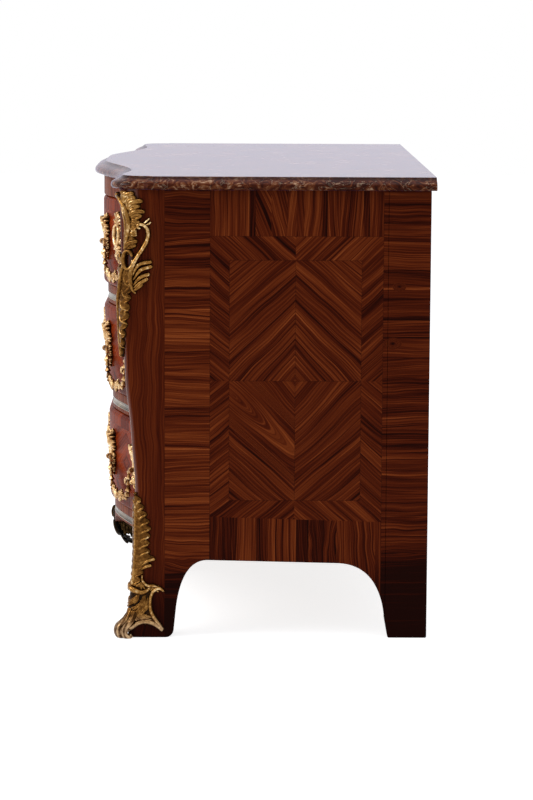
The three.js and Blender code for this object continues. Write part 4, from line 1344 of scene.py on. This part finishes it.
# Ribbons: half widths, rise, rows, and their paths
chute_ribbons = [
    ((1.4, 2.4, 2.6, 1.4), 7.6, 34, [
        ((1, 684), (8, 666), (18, 661)), ((-1, 660), (4, 645), (15, 641)), ((-5, 640), (1, 622), (10, 617)),
        ((-7, 612), (-3, 600), (8, 592)), ((-7, 592), (-4, 576), (4, 572)), ((-8, 568), (-6, 552), (1, 548)),
    ]),
    ((2, 2.6, 2.8, 2.6, 2.6, 2.4, 1.6), 11.5, 100, [(
        (4, 726), (2, 702), (-3, 676), (-5, 655), (-11, 630), (-13.5, 609), (-12.5, 575), (-11, 550),
        (-6, 530),
    )]),
    ((3, 4.2, 4.6, 4.6, 4, 3), 11, 90, [
        ((-30, 828), (-14, 825), (-3, 815), (7, 796), (11, 778), (9, 762), (6, 744), (3, 730)),
    ]),
    ((1.8, 3, 3.4, 3, 2.2), 9, 60, [((-10, 818), (-4, 806), (2, 790), (5, 772), (4, 754), (2, 738))]),
    ((3, 4, 4.4, 4.8, 5, 4.6, 3), 12.5, 120, [volute(c_scroll, 0.85, 5.2, 1)]),
    ((1.8, 2.6, 1.8), 8, 20, [((36, 778), (42, 784), (48, 790)), ((40, 776), (46, 779), (51, 783))]),
    ((3, 3.6, 3.4, 3), 11.5, 56, [cartouche]),
    ((2.2, 4.2, 4.8, 4.4), 10.5, 34, [
        ((15, 680), (28, 703), (54, 709)), ((17, 674), (33, 694), (55, 701)),
        ((17, 664), (32, 680), (50, 687)), ((17, 659), (32, 670), (47, 679)),
        ((17, 654), (27, 661), (37, 669)),
    ]),
]
# Fronds: rise, swell, fingers, and (root, tip, width, bend)
chute_fronds = [
    (10.5, 1.35, 3, [
        ((-2, 812), (20, 835), 9, 0.25), ((6, 802), (34, 820), 9, 0.22), ((10, 790), (37, 800), 8, 0.22),
        ((13, 776), (32, 782), 6, 0.2), ((12, 764), (27, 764), 6, -0.2), ((4, 730), (25, 746), 8, 0.2),
    ]),
    (8, 1, 3, [
        ((1, 712), (-22, 720), 6, 0.2), ((-2, 694), (-24, 696), 6, 0.2), ((-6, 664), (-26, 668), 6, 0.2),
        ((-10, 640), (-24, 640), 6, 0.2),
    ]),
]
chute_bead = (-33, 829, 6, 9)


def corner_chute():
    cast = Casting(on_corner)
    cast.blades(chute_blades)
    cast.ribbons(chute_ribbons)
    cast.fronds(chute_fronds)
    cast.bead(*chute_bead)
    return cast


# Sabot: a tall leaf up the corner, a pierced shoe round the foot and a curled toe
tall_leaf = [
    (100, 0, 14), (112, 0, 13), (122, 0, 15), (132, 0, 20), (141, 0, 27), (151, 0, 36), (160, 0, 30),
    (170, 0, 25), (184, 0, 26), (198, 0, 27), (212, 0, 28), (226, 0, 24), (240, 0, 19), (253, 0, 14),
    (265, 0, 9), (276, 0, 3),
]
tall_leaf_inside = [(z, 0, -0.72 * far) for z, _, far in tall_leaf]
lobe_pitch = 14
sabot_blades = [(7.5, lobe_pitch, 12, 7, 220, tall_leaf), (7.5, lobe_pitch, 12, -5, 220, tall_leaf_inside)]
sabot_ribbons = [
    ((3, 2.6, 2.2, 2, 1.2), 8, 60, [((0, 98), (0, 140), (0, 200), (0, 250), (-1, 277))]),
    ((1.6, 3.4, 4, 3.8), 8.8, 30, [((10, 138), (24, 148), (37, 151)), ((10, 130), (22, 137), (31, 139))]),
]
lobe_levels = range(163, 266, lobe_pitch)
lobe_widest = 3
lobe_rib = [(0.12, -9), (0.55, -2), (0.90, 2)]
lobe_ribbon = ((1.2, 2.4, 3.2, 2.6), 8.2, 30)

# The shoe's ground reaches so far towards the panel and the drawers at each height
shoe_levels = (26, 104)
shoe_side = [
    (0, 50), (10, 58), (22, 56), (34, 50), (47, 39), (60, 35), (72, 34), (82, 36), (90, 40), (97, 30),
    (104, 20),
]
shoe_front = [(0, 30), (15, 36), (32, 32), (60, 24), (85, 28), (104, 18)]
shoe_rib_turns = (0.9, 0.7)
shoe_rises = (2.6, 1.2)
shoe_relief = (0.12, 0.35)
shoe_ribbons = [
    ((3, 4.2, 4.5, 4.2, 4, 4.2, 4.5, 2.5), 10.5, 70, [
        ((64, 15), (54, 27), (45, 38), (37, 52), (34, 66), (34, 78), (37, 88), (46, 95), (59, 89)),
    ]),
    ((3, 4.5, 5, 5, 5, 4), 12, 50, [((63, 13), (54, 22), (42, 29), (28, 32), (14, 28), (4, 20), (-4, 10))]),
    ((2.5, 3.4, 3.6, 3, 1.8), 10, 50, [((46, 97), (36, 100), (26, 100), (18, 106), (14, 113), (14, 121))]),
    ((3, 4.8, 5.5, 4.8, 3), 11.5, 50, [((-14, 98), (-4, 96), (6, 90), (16, 87), (26, 91), (33, 98))]),
    ((3, 4, 4, 3.8, 4, 4.5, 3.5), 10, 80, [
        volute(((-32, 12), (-33, 30), (-27, 50), (-24, 68), (-26, 84), (-22, 96), (-14, 100)), 0.9, 6.5, -1),
    ]),
]
shoe_fronds = [
    (8.5, 1.2, 4, [
        ((24, 84), (2, 46), 7, 0.12), ((30, 78), (14, 40), 6, 0.12), ((12, 86), (-8, 60), 6, 0.12),
        ((2, 52), (16, 32), 7, -0.1), ((6, 54), (34, 34), 8, -0.12), ((10, 58), (52, 26), 9, -0.12),
        ((0, 50), (2, 28), 6, 0), ((-4, 56), (-26, 26), 8, 0.1), ((-6, 78), (-20, 46), 6, -0.1),
        ((30, 92), (52, 93), 6, 0.1), ((4, 98), (22, 94), 6, 0.3),
    ]),
]


def sabot():
    cast = Casting(on_corner)
    cast.blades(sabot_blades)
    cast.ribbons(sabot_ribbons)
    heights, _, fars = zip(*tall_leaf)
    for level in lobe_levels:
        wide = np.interp(level + lobe_widest, heights, fars)
        cast.ribbon([(share * wide, level + rise) for share, rise in lobe_rib], *lobe_ribbon)
    shoe_ground(cast)
    cast.ribbons(shoe_ribbons)
    cast.fronds(shoe_fronds)
    toe(cast)
    return cast


def shoe_ground(cast):
    """A thin ribbed ground over the foot, behind the shoe's borders and crossing leaves."""
    z = np.linspace(*shoe_levels, 30)[:, None]
    v = np.linspace(-1, 1, 31)
    s = np.where(v > 0, v * spline(shoe_side, z), v * spline(shoe_front, z))
    ribs = wave(shoe_rib_turns[0] * s + shoe_rib_turns[1] * z)
    out, relief = [ground + rib * ribs for ground, rib in (shoe_rises, shoe_relief)]
    cast.strip(s, z + 0 * s, seat + out, relief)


# The toe's three curls: place beside its middle, width, share of the thickness, and the path (away, up)
toe_away = np.array([0.42, -0.907])
toe_beside = np.array([toe_away[1], -toe_away[0]])
toe_middle = ((-6, 60), (2, 46), (9, 36), (17, 29), (24, 22), (26, 13), (23, 5), (15, 3), (9, 6))
toe_outer = ((-8, 50), (0, 37), (9, 27), (16, 19), (17, 11), (13, 5), (6, 3), (2, 6))
toe_curls = [(0, 11, 1.1, toe_middle), (-11, 8, 1.3, toe_outer), (11, 8, 1.3, toe_outer)]
toe_widths = [(0, 0.35), (0.25, 0.75), (0.6, 1), (0.85, 0.9), (1, 0.5)]
toe_thicknesses = [(0, 3), (0.3, 4.5), (0.7, 5), (1, 3.5)]
toe_flutes = 3
toe_flute_twist = 0.26
toe_fullness = (0.80, 0.3)
toe_relief = (0.30, 0.75)
toe_steps = 30
toe_off_floor = 0.6
toe_level = 0.02
slab_margin = 0.0004


def toe(cast):
    """Leaves that leave the corner, meet the floor and curl under, one beside the other."""
    corner = corner_ground(0, np.array(toe_level))
    turns = around(24)
    t = np.linspace(0, 1, toe_steps)[:, None]
    for offset, wide, share, points in toe_curls:
        profile = path_through(points, toe_steps)
        (d, z), (ahead_d, ahead_z) = profile.T[:, :, None], headings(profile).T[:, :, None]
        flutes = wave(toe_flutes * math.pi * np.cos(turns) + toe_flute_twist * d)
        full, relief = [ground + flute * flutes for ground, flute in (toe_fullness, toe_relief)]
        side = np.cos(turns) * spline(toe_widths, t) * wide + offset
        rise = np.sin(turns) * spline(toe_thicknesses, t) * share * full
        away = toe_away * (d - rise * ahead_z)[..., None] + toe_beside * side[..., None]
        high = np.maximum(z + rise * ahead_d, toe_off_floor)
        rings = np.concatenate([corner + away * mm, high[..., None] * mm], -1)
        rings[..., 0] = np.minimum(rings[..., 0], slab_high.x - slab_margin)
        cast.gather(rings, relief)


# Handles, in metres: places on a drawer's face, the bail and the eyes it hangs in
handle_x = 0.268
handle_reach = 0.088
half_span = 0.0918
pivot_drop = 0.010
bail_drop = 0.063
bail_arm_in = 0.020
pin_radius = 0.0025
hole_radius = 0.0032
eye_radius = 0.0058
eye_half = 0.0042
neck_long = 0.006
neck_in = 0.0008
neck_profile = [(0, 0.003), (0.4, 0.003), (1, 0.006)]
eye_section = [(0, -1), (0.8, -1), (1, -0.4), (1, 0.4), (0.8, 1), (0, 1), (0, -1)]
eye_relief = 0.7
neck_relief = 0.4
upright = np.array([0, 0, 1.0])


def face_slope(x):
    step = 0.0005
    return (face_at(x + step) - face_at(x - step)) / (2 * step)


def on_face(drawer, x, z):
    """A ground of places by the distance across the face from x, up from z, and out."""
    low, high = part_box(drawer + "_front")
    foot, head = lean(low.z), lean(high.z)
    long = math.hypot(1, face_slope(x))

    def lay(a, b, out):
        across = x + a / long
        level = z + b + np.zeros_like(out)
        slope = face_slope(across)
        turned = np.hypot(1, slope)
        bow = foot + (head - foot) * (level - low.z) / (high.z - low.z)
        return np.stack([across + out * slope / turned, face_at(across) + bow - out / turned, level], -1)

    return lay


def eye(cast, centre, axis):
    """The ring in which a bail's pin turns, and the neck behind it."""
    out = np.cross(axis, upright)
    out *= -np.sign(out[1]) / np.linalg.norm(out)
    profile = [(eye_radius * share or hole_radius, eye_half * side) for share, side in eye_section]
    turns = around(18)[:, None]
    circle = np.cos(turns) * out + np.sin(turns) * upright
    cast.gather(np.array([centre + axis * w + r * circle for r, w in profile]), eye_relief, capped=False)
    cross = np.cos(turns) * axis + np.sin(turns) * upright
    behind = centre - out * (eye_radius - neck_in)
    neck = [behind - out * share * neck_long + radius * cross for share, radius in neck_profile]
    cast.gather(np.array(neck), neck_relief)


plate_rises = [(-26, 8.5), (-20, 12.5), (-14, 9.5), (-6, 8.5), (2, 10), (9, 11.5), (14, 16.5), (22, 9)]
plate_fronds = [
    ((1, 22), (5, 45), 4, 0.2), ((3, 14), (15, 38), 5, 0.3), ((4, 9), (17, 23), 4, 0.3),
    ((5, 2), (21, 11), 5, 0.2), ((5, -6), (18, -5), 4, -0.2), ((5, -14), (17, -20), 5, -0.3),
    ((3, -20), (12, -36), 5, -0.3), ((1, -26), (4, -46), 4, -0.2),
]
plate_swell = 1.2
# Scrolls: half widths, rise, rows, turns, radius, the way they wind and their path
plate_scrolls = [
    ((2, 2.8, 2.6, 1.6), 10, 36, 0.7, 3.5, 1, ((2, 6), (9, 10), (11, 18), (6, 24))),
    ((2, 2.8, 2.6, 1.6), 10, 36, 0.7, 3.5, -1, ((2, -22), (8, -26), (8, -34))),
]
plate_ribbons = [((1.5, 4, 5, 2), 9.5, 20, [((0, -45), (0, -20), (0, 10), (1, 46))])]
plate_beads = [(0, 26, 6, 15), (0, -34, 6, 15), (0, -10, 9.5, 6.2)]


def backplate(drawer, node, joint, place):
    """A leafy plate: plumes above and below, curls at its sides and the eye on a boss."""
    centre, axis = np.array(joint["pos_m"]), np.array(joint["axis"])
    x = math.copysign(handle_x, centre[0]) + place * handle_reach
    cast = Casting(on_face(drawer, x, centre[2] + pivot_drop))
    for root, *shape in both_hands(plate_fronds):
        cast.frond(root, *shape, spline(plate_rises, root[1]), plate_swell)
    cast.scrolls(plate_scrolls)
    cast.ribbons(plate_ribbons)
    for bead in plate_beads:
        cast.bead(*bead)
    eye(cast, centre + axis * half_span * place * np.sign(axis[0]), axis)
    # painted light: the brighter, front-lit copy of the gilt
    cast.piece(node, drawer, lit_front_bronze_finish)


# Bails: half of the path in shares of span, arm and drop, and the girth at shares of the whole
bail_path_shares = [
    (1, -0.14, 0), (1, 0.38, 0), (1, 0.5, 0.01), (1, 0.85, 0.1), (1, 1, 0.36), (1, 1.15, 0.64),
    (0.62, 0, 0.9), (0.32, 0, 0.99),
]
bail_girths = [
    (0, pin_radius), (0.045, pin_radius), (0.06, 0.0034), (0.16, 0.0046), (0.30, 0.0054), (0.42, 0.0062),
    (0.5, 0.0066),
]
bail_husks = 22
carving_start = 0.055
carving_run = 0.02
husk_waist = 0.45
husk_flare = (0.6, 1.3)
husk_petals = 4
petal_depth = 0.20
bail_dullest = 0.15
plain_relief = 0.6
bail_steps = 201
knot_out = 0.001
knot_fronds = [
    (6.6, 1.2, 3, [
        ((2, -3), (20, 6), 5, -0.25), ((4, -1), (26, -2), 5, -0.25), ((14, 3), (34, 14), 4, -0.25),
    ]),
    (5.5, 1, 3, [((58, 30), (68, 44), 3, 0.2)]),
]
knot_bead = (0, 0, 4, 8.5)


def bail_tube():
    """The garland as rings of (across, up, off), with its relief: husks threaded down both arms."""
    half = [(half_span * span - bail_arm_in * arm, -bail_drop * drop) for span, arm, drop in bail_path_shares]
    path = path_through(half + [(0, -bail_drop)] + to_hand(half[::-1], -1), bail_steps)
    ahead = headings(path)
    t = np.linspace(0, 1, bail_steps)[:, None]
    fold = np.minimum(t, 1 - t)
    husk = np.floor(fold * bail_husks)
    cup = fold * bail_husks - husk
    carved = smooth((fold - carving_start) / carving_run)
    flare, sharpness = husk_flare
    swell = 1 - carved * (husk_waist - flare * cup ** sharpness)
    turns = around(16)
    petals = 1 + petal_depth * carved * cup * np.cos(turns * husk_petals + husk * math.pi)
    radius = np.interp(fold, *zip(*bail_girths)) * swell * petals
    across = radius * np.cos(turns)
    x, z = path[:, :1] - ahead[:, 1:] * across, path[:, 1:] + ahead[:, :1] * across
    shine = cup * carved + plain_relief * (1 - carved)
    relief = np.clip(bail_dullest + (1 - bail_dullest) * shine, 0, 1)
    return x, z, radius * np.sin(turns), relief


def bail(joint):
    """A cast garland that hangs from its pins, with a knot of two curled leaves in its middle."""
    centre, axis = np.array(joint["pos_m"]), np.array(joint["axis"])
    chord = axis * np.sign(axis[0])
    back = np.cross(upright, chord)

    def hung(x, z, off):
        return centre + x[..., None] * chord + z[..., None] * upright - off[..., None] * back

    def knot(a, b, out):
        return hung(a, b - bail_drop, out + knot_out)

    cast = Casting(knot)
    *places, relief = bail_tube()
    cast.gather(hung(*places), relief)
    cast.fronds(knot_fronds, paired=True)
    cast.bead(*knot_bead)
    # painted light: the brighter, front-lit copy of the gilt
    cast.piece(joint["child"], joint["child"], lit_front_bronze_finish)


# Escutcheons
escutcheon_fronds = [
    (8.5, 1.3, 3, [
        ((1, 24), (4, 50), 4, 0.2), ((3, 20), (14, 42), 5, 0.3), ((8, 16), (22, 31), 5, 0.3),
        ((13, 8), (26, 16), 5, 0.2), ((14, -6), (25, -10), 5, -0.2), ((9, -16), (21, -28), 5, -0.3),
        ((4, -22), (13, -40), 5, -0.3), ((1, -24), (3, -50), 4, -0.2),
    ]),
]
escutcheon_scrolls = [
    ((3, 4, 4.2, 4, 2), 10.5, 60, 0.8, 4, -1, ((3, 22), (12, 18), (17, 7), (15, -7), (10, -15), (3, -20))),
]
shield_half = (13, 19)
shield_drop = 1
shield_levels = [(1, 0.2), (1, 2.2), (0.5, 2.6), (0.05, 2.6)]
shield_relief = 0.35
keyhole_turns = np.linspace(-1.1, math.pi + 1.1, 16)
keyhole_rim = (4.6, (-3.4, -12), (0, -13.5), (3.4, -12))
keyhole_rim_ribbon = ((1.2, 1.3, 1.3, 1.2), 5, 64)
keyhole_opening = (3.4, (-2.4, -11.5), (2.4, -11.5))
keyhole_depths = (2.0, 3.1)


def keyhole(radius, *foot):
    """A round with a flared slot below it."""
    return [(radius * math.cos(a), radius * math.sin(a)) for a in keyhole_turns] + list(foot)


def escutcheon(drawer, node, x):
    """A cartouche: two facing scrolls, plumes above and below, and a keyhole in a raised rim."""
    low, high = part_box(node)
    cast = Casting(on_face(drawer, x, (low.z + high.z) / 2))
    cast.fronds(escutcheon_fronds, paired=True)
    cast.scrolls(escutcheon_scrolls)
    rim = keyhole(*keyhole_rim)
    cast.ribbon(rim + rim[:1], *keyhole_rim_ribbon)
    share, out = np.array(shield_levels).T[:, :, None]
    across, up_it = shield_half[0] * share * np.cos(around(24)), shield_half[1] * share * np.sin(around(24))
    cast.gather(cast.lay(across, up_it - shield_drop, seat + out + 0 * across), shield_relief)
    # painted light: the brighter, front-lit copy of the gilt
    cast.piece(node, drawer, lit_front_bronze_finish)
    a, b = np.array(keyhole(*keyhole_opening)).T
    rings = [cast.lay(a, b, np.full(len(a), seat + out)) for out in keyhole_depths]
    loft(node + "_keyhole", rings, shadow_finish, drawer, "gilt_bronze")


# Apron mount: the ground runs down the apron and curls back under its edge, with leaves hung behind it
mount_line = [(0, 0.150), (0, 0.1134), (0.0041, 0.0975), (0.0119, 0.0816), (0.0221, 0.0699), (0.034, 0.066)]
shell_turns = np.linspace(-1.25, 1.25, 9)
shell_foot = (6, 62)
shell_reach = (44, 62)
shell_middle = 66
shell_lobe = (6, 0, 5.5)
mount_scrolls = [((3, 5, 5, 3), 7, 60, 0.9, 6, -1, ((6, 62), (24, 66), (42, 58), (49, 42)))]
mount_ribbons = [((4, 5, 3), 11, 24, [((0, 36), (0, 22), (0, 10))])]
mount_fronds = [
    (7, 1, 3, [((3, 64), (14, 100), 7, 0.15), ((8, 62), (30, 88), 7, 0.2), ((2, 66), (5, 106), 7, 0.0)]),
]
mount_bead = (0, 64, 9, 9)
hanging_planes = (-0.016, 0.0, 0.016)
hanging_leaves = [
    (7, 1.3, 3, [
        ((6, -1), (6, 20), 6, 0.1), ((12, -1), (12, 30), 7, 0.1), ((18, -1), (18, 38), 7, 0.1),
        ((24, -1), (25, 42), 7, 0.1), ((31, -1), (34, 44), 7, 0.1), ((37, -1), (40, 32), 6, 0.1),
        ((43, -1), (47, 22), 6, 0.1),
    ]),
]


def on_apron(face):
    """A ground of places by x, the distance down the apron, and out."""
    line = path_through([(face + y, z) for y, z in mount_line], 60)
    run, ahead = run_along(line), headings(line)

    def lay(a, down, out):
        a, down = a + np.zeros_like(out), down + np.zeros_like(out)
        y, z, ahead_y, ahead_z = [np.interp(down, run, column) for column in (*line.T, *ahead.T)]
        return np.stack([a, y + ahead_z * out, z - ahead_y * out], -1)

    return lay


def behind_apron(plane, face, under):
    """A ground that stands square to the apron, measured back from its face and up its edge."""
    def lay(a, b, out):
        return np.stack([plane + out - seat * mm, face + a + 0 * out, under - b + 0 * out], -1)

    return lay


def apron_mount():
    """A shell on the apron's middle between two scrolls, with leaves that hang and curl under the edge."""
    low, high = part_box("apron_rail")
    face = face_peak + rail_recess + lean(high.z)
    cast = Casting(on_apron(face))
    for turn in shell_turns:
        tip = (math.sin(turn) * shell_reach[0], shell_middle - math.cos(turn) * shell_reach[1])
        cast.frond((math.sin(turn) * shell_foot[0], shell_foot[1]), tip, *shell_lobe)
    cast.scrolls(mount_scrolls)
    cast.fronds(mount_fronds, paired=True)
    cast.bead(*mount_bead)
    cast.ribbons(mount_ribbons)
    for plane in hanging_planes:
        cast.ground = behind_apron(plane, face, low.z)
        cast.fronds(hanging_leaves)
    # painted shade: the mount takes the darker copy of the gilt
    cast.piece("apron_mount", "carcass", painted_shade_bronze_finish)


# The chest
boards = ("back_panel", "case_top_board", "upper_dustboard", "lower_dustboard", "bottom_board")
board_wear = 0.0012
post_wear = 0.0025
# Drawers: panels across and the escutcheon's place
drawers = [
    ("top_right", 1, handle_x), ("top_left", 1, -handle_x), ("middle", 2, 0), ("bottom", 2, 0),
]


def handle(joint):
    bail(joint)
    row = joint["name"].replace("_bail_swing", "")
    hand = 1 if joint["pos_m"][0] > 0 else -1
    backplate(joint["parent"], row + "_inner_backplate", joint, -hand)
    backplate(joint["parent"], row + "_outer_backplate", joint, hand)


def plain_solids():
    """The drawers' boxes and bottoms and the divider between them keep their own shape."""
    for name, node in nodes.items():
        if not node.hide_render:
            node.data.materials.clear()
            node.data.materials.append(front_veneer_finish if name == "top_row_divider" else oak_finish)


marble_slab()
for board in boards:
    softened(board, oak_finish, board_wear)
chute, shoe = corner_chute(), sabot()
for side in ("right", "left"):
    front_post(side)
    end_panel(side)
    softened(side + "_rear_post", end_veneer_finish, post_wear)
    chute.piece(side + "_corner_chute", "carcass", side=side)
    shoe.piece(side + "_sabot", "carcass", side=side)
rails()
for name, cells, _ in drawers:
    drawer_front(name + "_drawer", cells)
for joint in frame["joints"]:
    if joint["type"] == "hinge":
        handle(joint)
for name, _, x in drawers:
    escutcheon(name + "_drawer", name + "_escutcheon", x)
apron_mount()
plain_solids()


# Camera, where the photograph was taken from
camera_place = (5.8320, -0.0242, 1.1789)
camera_yaw = 0.00793
camera_pitch = 0.139
camera_roll = 0.00494
focal_pixels = 2822.4
picture_height = 800
sensor = 36.0


def photograph_camera():
    data = bpy.data.cameras.new("photograph")
    data.sensor_fit = "AUTO"
    data.sensor_width = sensor
    data.lens = focal_pixels * sensor / picture_height
    data.clip_end = 100
    camera = placed("photograph", data)
    level = math.cos(camera_pitch)
    ahead = Vector((-level * math.cos(camera_yaw), level * math.sin(camera_yaw), -math.sin(camera_pitch)))
    camera.location = camera_place
    camera.rotation_mode = "QUATERNION"
    camera.rotation_quaternion = ahead.to_track_quat("-Z", "Y") @ Quaternion((0, 0, 1), camera_roll)
    bpy.context.scene.camera = camera


# Studio: a pale floor under a soft room, white where the camera sees them, and two lamps
floor_half = 14.0
floor_lit = (0.55, 0.55, 0.55)
floor_glow = 0.80
floor_bounce = (0.72, 0.72, 0.72)
room_colour = (0.93, 0.94, 1.0)
room_strength = 0.62
white = (1, 1, 1)
# Lamps: place, what they point at, size and watts
lamps = {
    "window": ((1.2, -3.4, 2.6), (0, 0, 0.45), (2.4, 2.0), 75),
    "ceiling": ((0.4, 0.2, 4.2), (0, 0, 0.4), (3.0, 3.0), 60),
}


def floor_finish():
    f = material("floor")
    lit = f.node("BsdfDiffuse", {}, {"Color": floor_lit})
    glow = f.node("Emission", {}, {"Color": white, "Strength": floor_glow})
    bright = f.node("AddShader", {}, {0: lit, 1: glow})
    plain = f.node("BsdfDiffuse", {}, {"Color": floor_bounce})
    return f.ends_in(f.node("MixShader", {}, {0: f.seen(), 1: plain, 2: bright}))


def floor():
    mesh = bpy.data.meshes.new("floor")
    corners = [(x * floor_half, y * floor_half, 0) for x, y in ((-1, -1), (1, -1), (1, 1), (-1, 1))]
    mesh.from_pydata(corners, [], [(0, 1, 2, 3)])
    mesh.materials.append(floor_finish())
    placed("floor", mesh)


def room():
    world = bpy.data.worlds.new("studio")
    f = Finish(world, "OutputWorld")
    soft = f.node("Background", {}, {"Color": room_colour, "Strength": room_strength})
    plain = f.node("Background", {}, {"Color": white})
    f.ends_in(f.node("MixShader", {}, {0: f.seen(), 1: soft, 2: plain}))
    bpy.context.scene.world = world


def lamp(name, place, aim, size, watts):
    data = bpy.data.lights.new(name, "AREA")
    data.shape = "RECTANGLE"
    data.size, data.size_y = size
    data.energy = watts
    thing = placed(name, data)
    thing.location = place
    thing.rotation_mode = "QUATERNION"
    thing.rotation_quaternion = (Vector(aim) - Vector(place)).to_track_quat("-Z", "Y")


floor()
room()
for name, settings in lamps.items():
    lamp(name, *settings)
photograph_camera()
bpy.context.scene.view_settings.view_transform = "Standard"
